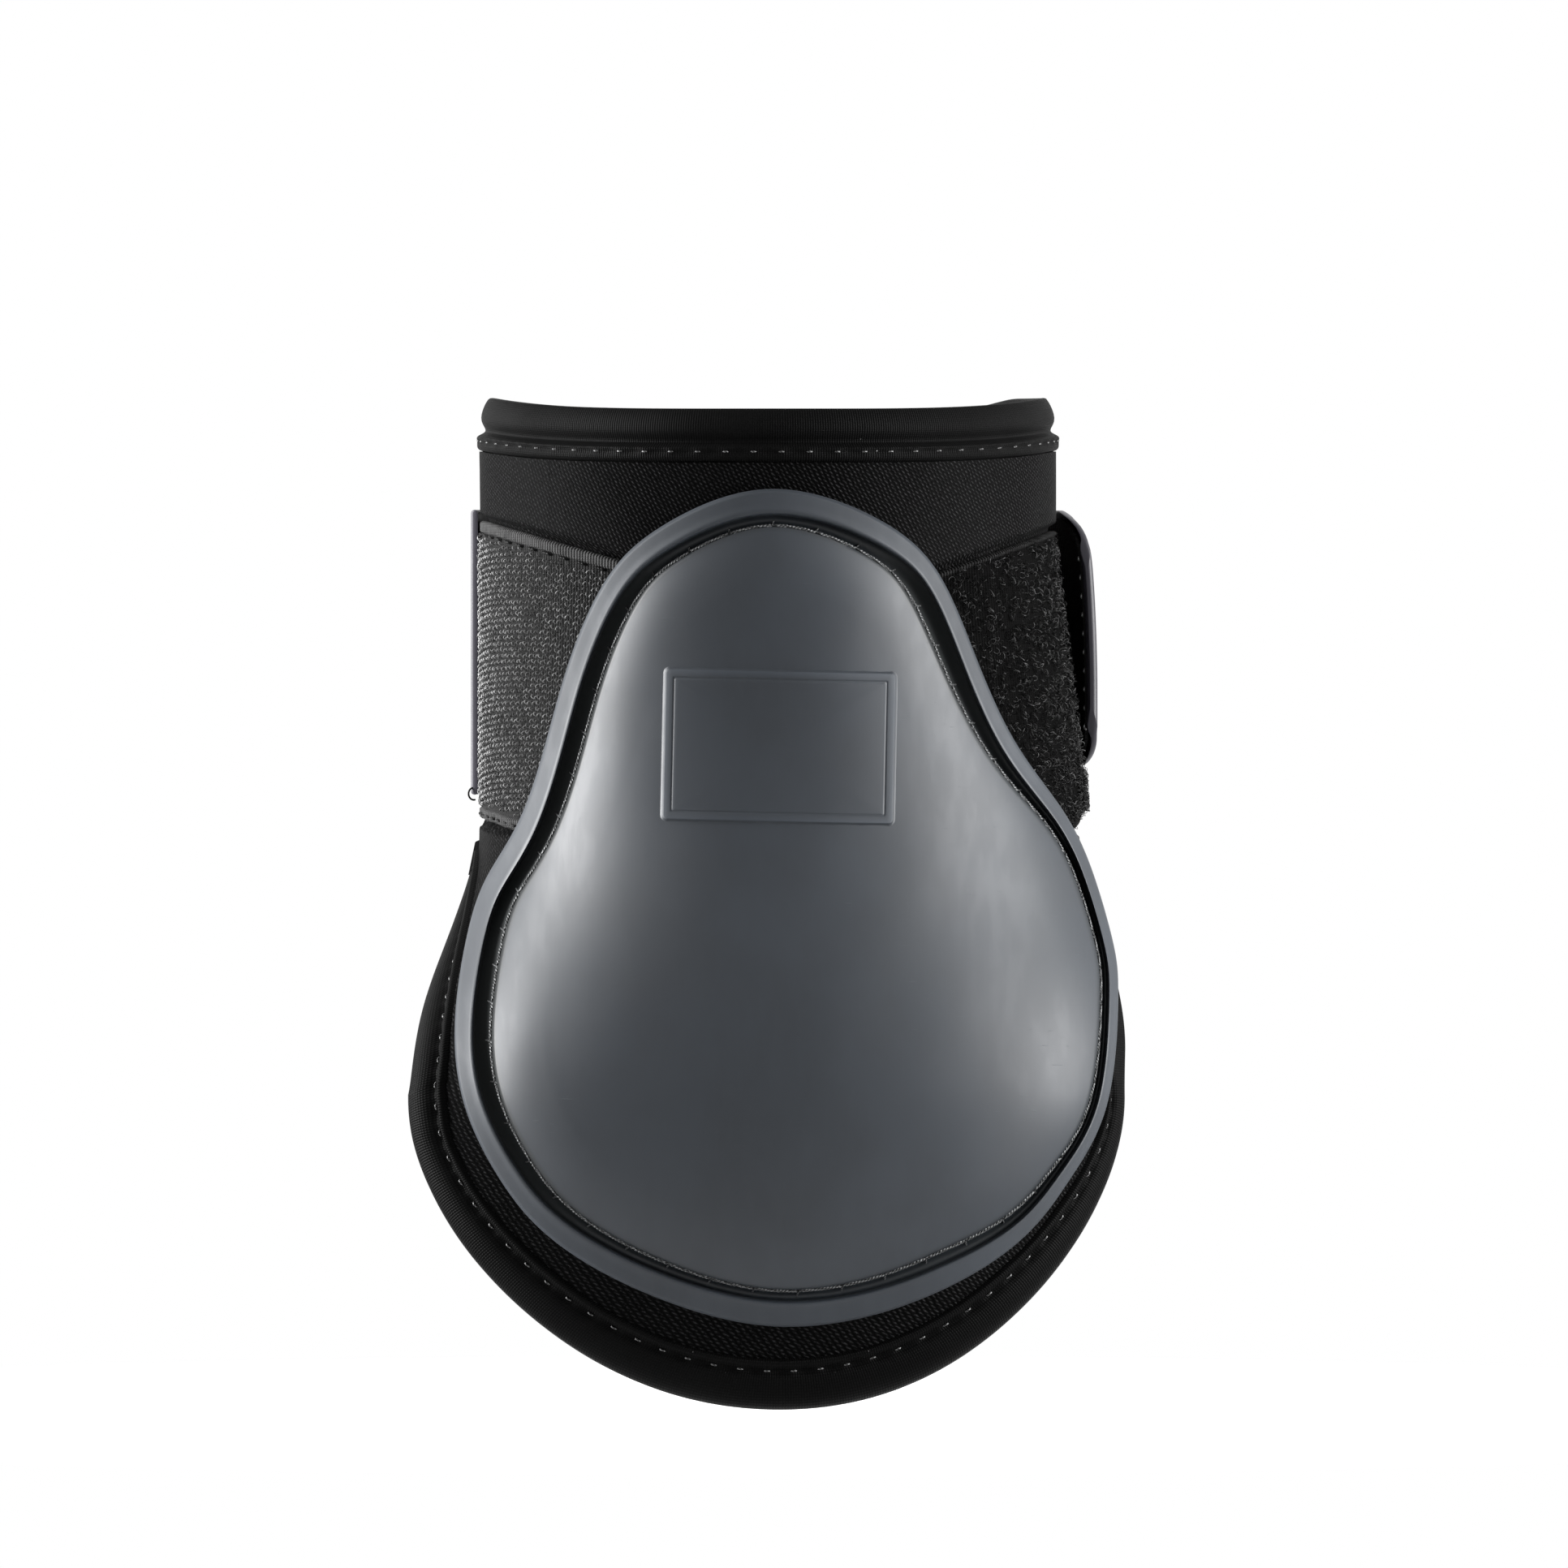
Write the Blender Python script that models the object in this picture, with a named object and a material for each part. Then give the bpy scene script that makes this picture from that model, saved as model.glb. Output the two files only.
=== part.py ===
"""Short boot for a horse's fetlock, as it stands when its strap is closed round the leg.

A moulded strike shell is sewn over a foam pad on a neoprene body. The body flares into a rounded
flap below, and its two rear wings are bridged by a wide strap, which peels off the loop tape and
swings open. +X is right and -Y is forward as the shell faces the viewer, +Z is up, and the origin
is on the leg's axis at the height of the flap's lowest point. Sizes are in metres.
"""

import math

import bmesh
import bpy
import numpy as np
from mathutils import Vector

# Wall and clearance
GAP = 0.0003
SHELL_SEAT = 0.0005
NEOPRENE = 0.003
LINING = 0.0017

# Cross-sections of the body, which are near to ellipses at every height
LEG_HALF_WIDTH = 0.0479
LEG_HALF_DEPTH = 0.042
BACK_HALF_DEPTH = 0.042
RIGHT_LEAN = 0.0046
LEAN_TOP = 0.150
LEAN_BOTTOM = 0.100
LEFT_FLARE_WIDTH = 0.0261
LEFT_FLARE_TOP = 0.095
LEFT_FLARE_BOTTOM = 0.046
RIGHT_FLARE_WIDTH = 0.0115
RIGHT_FLARE_TOP = 0.103
RIGHT_FLARE_BOTTOM = 0.060
BELLY_DEPTH = 0.015
BELLY_TOP = 0.120
BELLY_BOTTOM = 0.050
TUCK_DEPTH = 0.0125
FORWARD_SHIFT = 0.017
SHIFT_TOP = 0.088
SHIFT_BOTTOM = 0.052

# Upper edge and its collar roll
TOP = 0.1680
FRONT_DIP = 0.0026
COLLAR_HEIGHT = 0.0092
COLLAR_RIDGE = 0.0007
COLLAR_BULGE = 0.0006
ROLL_TURN_SHARE = 0.82

# Lower edge of the flap, an ellipse seen from the front, and its binding roll
FLAP_MARGIN = 0.0043
FLAP_LOWER_HEIGHT = 0.053
LEFT_NOTCH_ANGLE = math.radians(82)
RIGHT_NOTCH_ANGLE = math.radians(76)
NOTCH_BEND_SHARE = 1.45
LEFT_WING_BOTTOM = 0.089
RIGHT_WING_BOTTOM = 0.0975
LEFT_NOTCH_RISE = 0.004
RIGHT_NOTCH_RISE = 0.008
BINDING_WIDTH = 0.0056
BINDING_RIDGE = 0.0006
BINDING_BULGE = 0.0005
CHART_RADIUS = 0.055

# Rear wings, from the fold at each side to the open back, as angles from the front
FOLD_ANGLE = math.radians(90)
LEFT_WING_END = math.radians(146)
RIGHT_WING_END = math.radians(133)
WING_CORNER = 0.011

# Band that the strap presses into the body, and the two tapes that lie in it
PRESS_DEPTH = 0.0014
PRESS_RAMP = 0.006
PRESS_MARGIN = 0.002
TAPE_THICKNESS = 0.001
TAPE_HEIGHT = 0.0495
TAPE_TOP = 0.1476
TAPE_FALL = 0.0135
LEFT_TAPE_FRONT_TOP = math.radians(27)
LEFT_TAPE_FRONT_BOTTOM = math.radians(48)
RIGHT_TAPE_FRONT_TOP = math.radians(25)
RIGHT_TAPE_FRONT_BOTTOM = math.radians(60)
LEFT_TAPE_END = math.radians(114)
RIGHT_TAPE_END = math.radians(124)

# Moulded strike shell
SHELL_CENTRE = 0.0030
SHELL_WIDTH = 0.1096
SHELL_BOTTOM = 0.0152
SHELL_TOP = 0.1528
RIM_WIDTH = 0.0034
RIM_HEIGHT = 0.0030
GROOVE_WIDTH = 0.0023
GROOVE_FLOOR = 0.0011
DOME_STEP = 0.0030
DOME_SHOULDER = 0.0060
DOME_RISE = 0.0048
DOME_CROWN = 0.0066
SHELL_WALL = 0.0022
SHELL_POLE_SHARE = 0.52
SHELL_COLUMNS = 60
SHELL_OUTLINE_SHARES = (
    (-0.04, 1.000), (0.29, 0.961), (0.466, 0.894), (0.573, 0.797), (0.685, 0.700), (0.812, 0.627),
    (0.913, 0.554), (0.986, 0.457), (1.000, 0.385), (0.964, 0.263), (0.839, 0.167), (0.593, 0.070),
    (0.008, 0.000), (-0.586, 0.070), (-0.850, 0.167), (-0.969, 0.263), (-1.000, 0.360), (-0.971, 0.457),
    (-0.913, 0.531), (-0.810, 0.603), (-0.727, 0.700), (-0.656, 0.797), (-0.544, 0.894), (-0.361, 0.961),
)

# Closure strap, a band with upright walls across the open back
ELASTIC_THICKNESS = 0.0017
ELASTIC_BOTTOM = 0.1035
ELASTIC_TOP = 0.1480
ANCHOR_THICKNESS = 0.0012
ANCHOR_BOTTOM = 0.1020
ANCHOR_TOP = 0.1494
ANCHOR_END = math.radians(109)
TAB_BOTTOM = 0.1068
TAB_TOP = 0.1493
TAB_TIP = math.radians(88)
TAB_ROOT = math.radians(141)
TAB_CORNER = 0.010
TAB_COVER = 0.0009
TAB_LINING = 0.0006
TAB_HEM = 0.0013

COLLECTION = "fetlock_boot"


def ease(share):
    """Goes smoothly from 0 to 1."""
    share = min(max(share, 0.0), 1.0)
    return share * share * (3 - 2 * share)


def left_half_width(z):
    """Distance from the leg's axis to the body's left side at a height."""
    drop = (LEFT_FLARE_TOP - z) / (LEFT_FLARE_TOP - LEFT_FLARE_BOTTOM)
    return LEG_HALF_WIDTH + LEFT_FLARE_WIDTH * ease(drop)


def right_half_width(z):
    """Distance from the leg's axis to the body's right side at a height."""
    lean = ease((LEAN_TOP - z) / (LEAN_TOP - LEAN_BOTTOM))
    drop = (RIGHT_FLARE_TOP - z) / (RIGHT_FLARE_TOP - RIGHT_FLARE_BOTTOM)
    return LEG_HALF_WIDTH + RIGHT_LEAN * lean + RIGHT_FLARE_WIDTH * ease(drop)


def front_depth(z):
    """Distance of the body's front from the leg's axis at a height."""
    belly = ease((BELLY_TOP - z) / (BELLY_TOP - BELLY_BOTTOM))
    tuck = max(BELLY_BOTTOM - z, 0) / BELLY_BOTTOM
    return LEG_HALF_DEPTH + BELLY_DEPTH * belly - TUCK_DEPTH * tuck**2


def shift(z):
    """How far the section's centre has moved forward at a height."""
    tuck = max(BELLY_BOTTOM - z, 0) / BELLY_BOTTOM
    return FORWARD_SHIFT * ease((SHIFT_TOP - z) / (SHIFT_TOP - SHIFT_BOTTOM)) - TUCK_DEPTH * tuck**2


def oval_x(angle, left, right):
    """Sideways place at an angle on an oval with unlike left and right halves that meet smoothly."""
    turn = math.sin(angle)
    return (left + right) / 2 * turn + (right - left) / 2 * turn**2


def flap_half_width():
    """Half the width of the flap, which stands out past the shell."""
    return SHELL_WIDTH / 2 + FLAP_MARGIN


def body_point(angle, z, out):
    """Point at an angle from the front, a distance outside the body's free surface."""
    x = oval_x(angle, left_half_width(z) + out, right_half_width(z) + out)
    if abs(angle) > FOLD_ANGLE:
        deep = BACK_HALF_DEPTH + out
    else:
        deep = front_depth(z) - shift(z) + out
    return Vector((x, -deep * math.cos(angle) - shift(z), z))


def angle_at(x, z, out):
    """Angle from the front of the point that the front view shows at x, on the surface that far out."""
    left, right = left_half_width(z) + out, right_half_width(z) + out
    mean, skew = (left + right) / 2, (right - left) / 2
    turn = 2 * x / (mean + math.sqrt(mean**2 + 4 * skew * x))
    return math.asin(min(max(turn, -1.0), 1.0))


def front_point(x, z, out):
    """Point that the front view shows at x and z, a distance outside the body's free surface."""
    return body_point(angle_at(x, z, out), z, out)


def tape_top(angle):
    """Height of the tapes' upper edge, which falls from the sides to the front."""
    turn = min(abs(angle), FOLD_ANGLE)
    return TAPE_TOP - TAPE_FALL * (1 - math.sin(turn))


def press(angle, z):
    """How deep the strap's band presses into the body."""
    upper = tape_top(angle) + PRESS_MARGIN
    lower = tape_top(angle) - TAPE_HEIGHT - PRESS_MARGIN
    above = ease((upper + PRESS_RAMP - z) / PRESS_RAMP)
    below = ease((z - lower + PRESS_RAMP) / PRESS_RAMP)
    return PRESS_DEPTH * above * below


def neoprene_face(angle, z):
    """Distance out of the neoprene's face."""
    return -press(angle, z)


def lining_face(angle, z):
    """Distance out of the lining's outer face."""
    return -NEOPRENE - GAP


def pressed_out(angle, z, out):
    """Distance out of a roll's corner, whose outer half gives way where the band presses."""
    if out < -NEOPRENE / 2:
        return out
    depth = press(angle, z)
    return min(out, 0.0) + max(out, 0.0) * (1 - depth / PRESS_DEPTH) - depth


def covered(angle, z):
    """1 on the stretch of the flap's edge that the shell's rim holds flat, 0 elsewhere."""
    return ease((z - FLAP_LOWER_HEIGHT) / BINDING_WIDTH) if angle > 0 else 0.0


def row_height(angle, low, high, row, counts):
    """Height of a panel's row: the rows follow the pressed band, with counts below, in and above it."""
    below, inside, above = counts
    lower = max(tape_top(angle) - TAPE_HEIGHT - PRESS_MARGIN, low + PRESS_RAMP)
    upper = tape_top(angle) + PRESS_MARGIN
    ramp_low = max(lower - PRESS_RAMP, low + PRESS_RAMP / 2)
    if row <= below:
        return low + (ramp_low - low) * row / below
    if row <= below + 1 + inside:
        return lower + (upper - lower) * (row - below - 1) / inside
    start = upper + PRESS_RAMP
    return start + (high - start) * (row - below - inside - 2) / above


def top_edge(angle):
    """Height of the boot's upper edge, lower at the front than at the sides."""
    return TOP - FRONT_DIP * ease(math.cos(min(abs(angle), FOLD_ANGLE)))


def wing_bottom(side):
    return LEFT_WING_BOTTOM if side < 0 else RIGHT_WING_BOTTOM


def flap_edge(share):
    """Angle and height on the body's lower edge: -1 is the left fold, 0 the middle, 1 the right fold."""
    side = -1 if share < 0 else 1
    lower_share = 0.54
    upper_share = 0.84
    along = abs(share)
    if along <= lower_share:
        turn = math.pi / 2 * along / lower_share
        z = FLAP_LOWER_HEIGHT * (1 - math.cos(turn))
        return angle_at(side * flap_half_width() * math.sin(turn), z, 0.0), z
    widest = abs(angle_at(side * flap_half_width(), FLAP_LOWER_HEIGHT, 0.0))
    sweep = (LEFT_NOTCH_ANGLE if side < 0 else RIGHT_NOTCH_ANGLE) - widest
    rise = LEFT_NOTCH_RISE if side < 0 else RIGHT_NOTCH_RISE
    notch_z = wing_bottom(side) - rise
    climb = notch_z - FLAP_LOWER_HEIGHT
    if along <= upper_share:
        along = (along - lower_share) / (upper_share - lower_share)
        return side * (widest + sweep * along**NOTCH_BEND_SHARE), FLAP_LOWER_HEIGHT + climb * along
    along = (along - upper_share) / (1 - upper_share)
    angle = widest + sweep
    middle = angle + NOTCH_BEND_SHARE * sweep * rise / climb
    first, second, third = (1 - along) ** 2, 2 * along * (1 - along), along**2
    z = first * notch_z + (second + third) * wing_bottom(side)
    return side * (first * angle + second * middle + third * FOLD_ANGLE), z


def inset_from(edge, share, inset):
    """Angle and height a distance up from an edge, square to it, as on the body laid flat."""
    step_share = 0.004
    before = edge(max(share - step_share, -1.0))
    after = edge(min(share + step_share, 1.0))
    along = Vector(((after[0] - before[0]) * CHART_RADIUS, after[1] - before[1])).normalized()
    angle, z = edge(share)
    return angle - along.y * inset / CHART_RADIUS, z + along.x * inset


def material(name, color, roughness, metallic=0.0):
    made = bpy.data.materials.new(name)
    made.use_nodes = True
    shader = made.node_tree.nodes["Principled BSDF"]
    shader.inputs["Base Color"].default_value = (*color, 1.0)
    shader.inputs["Roughness"].default_value = roughness
    shader.inputs["Metallic"].default_value = metallic
    return made


def add_object(name, mesh_data, look, pivot):
    """Makes an object of a finished bmesh, with its origin at its body's pivot."""
    bmesh.ops.recalc_face_normals(mesh_data, faces=mesh_data.faces)
    bmesh.ops.translate(mesh_data, verts=mesh_data.verts, vec=-place_of(pivot))
    mesh = bpy.data.meshes.new(name)
    mesh_data.to_mesh(mesh)
    mesh_data.free()
    mesh.shade_smooth()
    mesh.set_sharp_from_angle(angle=math.radians(50))
    mesh.materials.append(look)
    made = bpy.data.objects.new(name, mesh)
    bpy.data.collections[COLLECTION].objects.link(made)
    made.parent = pivot
    return made


def add_sheet(name, columns, rows, place, look, pivot):
    """A sheet with two faces: place(u, v, face) puts each corner, with face 0 inside and 1 outside."""
    made = bmesh.new()
    bmesh.ops.create_grid(made, x_segments=columns, y_segments=rows, size=0.5)
    inner = set(made.verts)
    bmesh.ops.extrude_face_region(made, geom=made.faces[:])
    for vert in made.verts:
        u, v = vert.co.x + 0.5, vert.co.y + 0.5
        vert.co = place(u, v, 0 if vert in inner else 1)
    return add_object(name, made, look, pivot)


def add_roll(name, columns, section, place, look, pivot):
    """A roll with closed ends: place(u, corner) puts each corner of its section along it."""
    made = bmesh.new()
    bmesh.ops.create_grid(made, x_segments=columns, y_segments=len(section), size=0.5)
    for vert in made.verts:
        corner = section[round((vert.co.y + 0.5) * len(section)) % len(section)]
        vert.co = place(vert.co.x + 0.5, corner)
    bmesh.ops.remove_doubles(made, verts=made.verts, dist=GAP / 100)
    bmesh.ops.holes_fill(made, edges=made.edges, sides=len(section))
    return add_object(name, made, look, pivot)


def add_pad(name, columns, rings, place, look, pivot):
    """A closed form with a pole below and above: place(turn, ring) puts each corner, turn going 0 to 1."""
    made = bmesh.new()
    bmesh.ops.create_grid(made, x_segments=columns, y_segments=len(rings) - 1, size=0.5)
    for vert in made.verts:
        ring = rings[round((vert.co.y + 0.5) * (len(rings) - 1))]
        vert.co = place((vert.co.x + 0.5) % 1.0, ring)
    bmesh.ops.remove_doubles(made, verts=made.verts, dist=GAP / 100)
    return add_object(name, made, look, pivot)


def closed_spline(points):
    """Smooth closed curve through the points: a function of a turn from 0 to 1 that gives its place."""
    count = len(points)
    known = np.array(points)
    system = 4 * np.eye(count) + np.roll(np.eye(count), 1, axis=0) + np.roll(np.eye(count), -1, axis=0)
    slopes = np.linalg.solve(system, 3 * (np.roll(known, -1, axis=0) - np.roll(known, 1, axis=0)))

    def place(turn):
        start, along = divmod(turn % 1.0 * count, 1.0)
        start = int(start) % count
        end = (start + 1) % count
        rise = known[end] - known[start]
        bend = slopes[start] * along * (1 - along) ** 2 - slopes[end] * along**2 * (1 - along)
        return known[start] + rise * along**2 * (3 - 2 * along) + bend

    return place


shell_shares = closed_spline(SHELL_OUTLINE_SHARES)


def shell_outline(turn, inset):
    """Point on the shell's outline in the front view, a distance in from its outer edge."""
    size = np.array((SHELL_WIDTH / 2, SHELL_TOP - SHELL_BOTTOM))
    step_share = 0.002
    along = (shell_shares(turn + step_share) - shell_shares(turn - step_share)) * size
    along = along / np.linalg.norm(along)
    x, z = shell_shares(turn) * size + np.array((SHELL_CENTRE, SHELL_BOTTOM))
    return x + along[1] * inset, z - along[0] * inset


def shell_place(turn, ring):
    """Point of the shell or its foam on a ring, given as its inset, its shrink to the pole and its height."""
    inset, shrink, out = ring
    x, z = shell_outline(turn, inset)
    pole_z = SHELL_BOTTOM + SHELL_POLE_SHARE * (SHELL_TOP - SHELL_BOTTOM)
    return front_point(SHELL_CENTRE + (x - SHELL_CENTRE) * shrink, pole_z + (z - pole_z) * shrink, out)


def dome_rings(inset, low, high):
    """Rings of a dome from the pole to its shoulder, crowned between two heights."""
    shrink_shares = (0.0, 0.16, 0.32, 0.48, 0.64, 0.78, 0.90)
    return [(inset, share, low + (high - low) * (1 - share**3)) for share in shrink_shares]


def make_strike_shell(look, pivot):
    """The moulded shell: a rim bead, the sewing groove inside it and the crowned dome."""
    corners = 5
    fullness = 0.7
    seat_shares = (0.67, 0.33)
    shoulder_shares = ((0.0, 0.0), (0.17, 0.6), (0.5, 0.88), (1.0, 1.0))
    wall_foot_share = 0.8
    rim = []
    for number in range(corners + 1):
        turn = math.pi * number / corners
        floor = SHELL_SEAT + GROOVE_FLOOR * number / corners
        bead = (RIM_HEIGHT - GROOVE_FLOOR / 2) * math.sin(turn) ** fullness
        rim.append((RIM_WIDTH * (1 - math.cos(turn)) / 2, 1.0, floor + bead))
    wall = RIM_WIDTH + GROOVE_WIDTH
    shoulder = wall + DOME_SHOULDER
    top = [(RIM_WIDTH + GROOVE_WIDTH * wall_foot_share, 1.0, SHELL_SEAT + GROOVE_FLOOR)]
    for inset_share, rise_share in shoulder_shares:
        rise = DOME_STEP + (DOME_RISE - DOME_STEP) * rise_share
        top.append((wall + DOME_SHOULDER * inset_share, 1.0, rise))
    top += dome_rings(shoulder, DOME_RISE, DOME_CROWN)[::-1]
    under = dome_rings(shoulder, DOME_RISE - SHELL_WALL, DOME_CROWN - SHELL_WALL)
    under += [(shoulder, 1.0, DOME_RISE - SHELL_WALL), (wall + GROOVE_WIDTH / 2, 1.0, SHELL_SEAT)]
    under += [(wall * share, 1.0, SHELL_SEAT) for share in seat_shares]
    return add_pad("strike_shell", SHELL_COLUMNS, under + rim + top, shell_place, look, pivot)


def make_shell_foam(look, pivot):
    """The foam pad that fills the shell's dome."""
    shoulder = RIM_WIDTH + GROOVE_WIDTH + DOME_SHOULDER
    edge = shoulder - DOME_SHOULDER / 2
    fall = SHELL_WALL + GAP
    under = [(shoulder, shrink, SHELL_SEAT) for _, shrink, _ in dome_rings(shoulder, 0.0, 0.0)]
    side = [(shoulder, 1.0, SHELL_SEAT), (edge, 1.0, SHELL_SEAT), (edge, 1.0, SHELL_SEAT + GAP)]
    side += [(shoulder, 1.0, DOME_RISE - fall)]
    over = dome_rings(shoulder, DOME_RISE - fall, DOME_CROWN - fall)[::-1]
    return add_pad("shell_foam", 36, under + side + over, shell_place, look, pivot)


def make_front_panel(name, columns, outside, inside, look, pivot):
    """A layer of the root body between the collar and the flap's binding."""
    counts = (9, 5, 2)
    rows = sum(counts) + 2
    limit = FOLD_ANGLE - GAP / 2 / LEG_HALF_WIDTH

    def place(u, v, face):
        share = 2 * u - 1
        angle, low = inset_from(flap_edge, share, BINDING_WIDTH + 2 * GAP)
        angle = min(max(angle, -limit), limit)
        high = top_edge(angle) - COLLAR_HEIGHT - GAP
        z = row_height(angle, low, high, round(v * rows), counts)
        return body_point(angle, z, outside(angle, z) if face else inside)

    return add_sheet(name, columns, rows, place, look, pivot)


def collar_section():
    """Corners of the collar's section, as depths below the upper edge and distances out."""
    inner = -NEOPRENE - GAP - LINING
    height_shares = (0.0, 0.05, 0.18, 0.42, 0.62, 0.74, 0.84, 1.0, 1.0, 0.72, 0.35, 0.08)
    outs = (
        inner / 2, inner / 4, 0.0, COLLAR_BULGE / 2, 0.0, COLLAR_RIDGE, COLLAR_RIDGE, 0.0,
        inner, inner - COLLAR_BULGE, inner - COLLAR_BULGE, inner * ROLL_TURN_SHARE,
    )
    return [(COLLAR_HEIGHT * share, out) for share, out in zip(height_shares, outs)]


def make_collar(name, columns, start, end, look, pivot):
    """Collar roll round the upper edge between two angles."""

    def place(u, corner):
        angle = start + (end - start) * u
        down, out = corner
        z = top_edge(angle) - down
        return body_point(angle, z, pressed_out(angle, z, out))

    return add_roll(name, columns, collar_section(), place, look, pivot)


def binding_section():
    """Corners of the binding's section, as distances in from the edge and distances out."""
    inner = -NEOPRENE - GAP - LINING
    width_shares = (0.0, 0.10, 0.35, 0.65, 0.82, 1.0, 1.0, 0.6, 0.12)
    outs = (
        inner / 2, inner / 8, BINDING_BULGE, BINDING_BULGE / 2, BINDING_RIDGE, 0.0,
        inner, inner - BINDING_BULGE, inner * ROLL_TURN_SHARE,
    )
    return [(BINDING_WIDTH * share, out) for share, out in zip(width_shares, outs)]


def make_flap_binding(look, pivot):
    side_gap = GAP / 2 / LEG_HALF_WIDTH

    def place(u, corner):
        across, out = corner
        angle, z = inset_from(flap_edge, 2 * u - 1, across)
        limit = FOLD_ANGLE - side_gap
        angle = min(max(angle, -limit), limit)
        out -= max(out, 0.0) * covered(angle, z)
        return body_point(angle, z, pressed_out(angle, z, out))

    return add_roll("flap_binding", 60, binding_section(), place, look, pivot)


def wing_end(side):
    return LEFT_WING_END if side < 0 else RIGHT_WING_END


def make_wing_panel(name, side, outside, inside, look, pivot):
    """A layer of a wing, from the fold to the rounded corner at the open back."""
    border = BINDING_WIDTH + GAP
    start = FOLD_ANGLE + GAP / 2 / LEG_HALF_WIDTH
    end = wing_end(side) - border / LEG_HALF_WIDTH
    corner = WING_CORNER - BINDING_WIDTH
    counts = (1, 5, 1)
    rows = sum(counts) + 2

    def place(u, v, face):
        angle = side * (start + (end - start) * math.sin(u * math.pi / 2))
        past = min(max(corner - (end - abs(angle)) * LEG_HALF_WIDTH, 0), corner)
        low = wing_bottom(side) + border + corner - math.sqrt(corner**2 - past**2)
        high = top_edge(angle) - COLLAR_HEIGHT - GAP
        z = row_height(angle, low, high, round(v * rows), counts)
        return body_point(angle, z, outside(angle, z) if face else inside)

    return add_sheet(name, 10, rows, place, look, pivot)


def make_wing_binding(name, side, look, pivot):
    """Binding along a wing's lower edge, round its corner and up its rear edge to the collar."""
    start = FOLD_ANGLE + GAP / 2 / LEG_HALF_WIDTH
    end, bottom = wing_end(side), wing_bottom(side)
    run = (end - start) * LEG_HALF_WIDTH - WING_CORNER
    bend = WING_CORNER * math.pi / 2
    rise = TOP - COLLAR_HEIGHT - GAP - bottom - WING_CORNER
    stops = [run * number / 8 for number in range(8)]
    stops += [run + bend * number / 6 for number in range(7)]
    stops += [run + bend + rise * number / 8 for number in range(1, 9)]

    def path(distance):
        """Place on the edge laid flat, and the direction into the wing there."""
        if distance <= run:
            return Vector((distance, bottom)), Vector((0, 1))
        if distance < run + bend:
            turn = (distance - run) / WING_CORNER
            inward = Vector((-math.sin(turn), math.cos(turn)))
            return Vector((run, bottom + WING_CORNER)) - inward * WING_CORNER, inward
        return Vector((run + WING_CORNER, bottom + WING_CORNER + distance - run - bend)), Vector((-1, 0))

    def place(u, corner):
        across, out = corner
        flat, inward = path(stops[round(u * (len(stops) - 1))])
        spot = flat + inward * across
        angle = side * (start + spot.x / LEG_HALF_WIDTH)
        return body_point(angle, spot.y, pressed_out(angle, spot.y, out))

    return add_roll(name, len(stops) - 1, binding_section(), place, look, pivot)


def make_tape(name, columns, rows, fronts, back, look, pivot):
    """A tape that lies in the pressed band, from its slanted front end to an upright end."""
    rest = -TAPE_THICKNESS

    def place(u, v, face):
        front = fronts[0] + (fronts[1] - fronts[0]) * v
        angle = front + (back - front) * u
        z = tape_top(angle) - TAPE_HEIGHT * (1 - v)
        return body_point(angle, z, rest + TAPE_THICKNESS if face else rest)

    return add_sheet(name, columns, rows, place, look, pivot)


def strap_point(angle, z, out):
    """Point of the strap's upright band, a distance outside the surface that it lies on."""
    left, right = left_half_width(ELASTIC_BOTTOM), right_half_width(ELASTIC_BOTTOM)
    x = oval_x(angle, left + out, right + out)
    return Vector((x, -(BACK_HALF_DEPTH + out) * math.cos(angle), z))


def make_band(name, columns, rows, ends, heights, outs, look, pivot):
    """A plain stretch of strap between two angles, counted on round the back."""

    def place(u, v, face):
        angle = ends[0] + (ends[1] - ends[0]) * u
        if angle > math.pi:
            angle -= 2 * math.pi
        return strap_point(angle, heights[0] + (heights[1] - heights[0]) * v, outs[face])

    return add_sheet(name, columns, rows, place, look, pivot)


def make_tab(name, columns, rows, hem, outs, look, pivot):
    """The closing tab's cover or lining, whose front corners are rounded."""
    radius = right_half_width(ELASTIC_BOTTOM)
    tip = TAB_TIP + hem / radius
    corner = TAB_CORNER - hem
    middle = (TAB_TOP + TAB_BOTTOM) / 2
    half = (TAB_TOP - TAB_BOTTOM) / 2 - hem

    def place(u, v, face):
        angle = tip + (TAB_ROOT - tip) * (1 - math.cos(u * math.pi / 2))
        past = max(corner - (angle - tip) * radius, 0)
        reach = half - corner + math.sqrt(max(corner**2 - past**2, 0))
        return strap_point(angle, middle + reach * (2 * v - 1), outs[face])

    return add_sheet(name, columns, rows, place, look, pivot)


def add_pivot(name, place, parent=None):
    """An empty at a place in the world, on the axis that its body turns about."""
    made = bpy.data.objects.new(name, None)
    bpy.data.collections[COLLECTION].objects.link(made)
    made.empty_display_size = BINDING_WIDTH
    made.parent = parent
    made.location = place - place_of(parent) if parent else place
    return made


def place_of(pivot):
    """A pivot's place in the world."""
    place = pivot.location.copy()
    while pivot.parent:
        pivot = pivot.parent
        place += pivot.location
    return place


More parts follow.
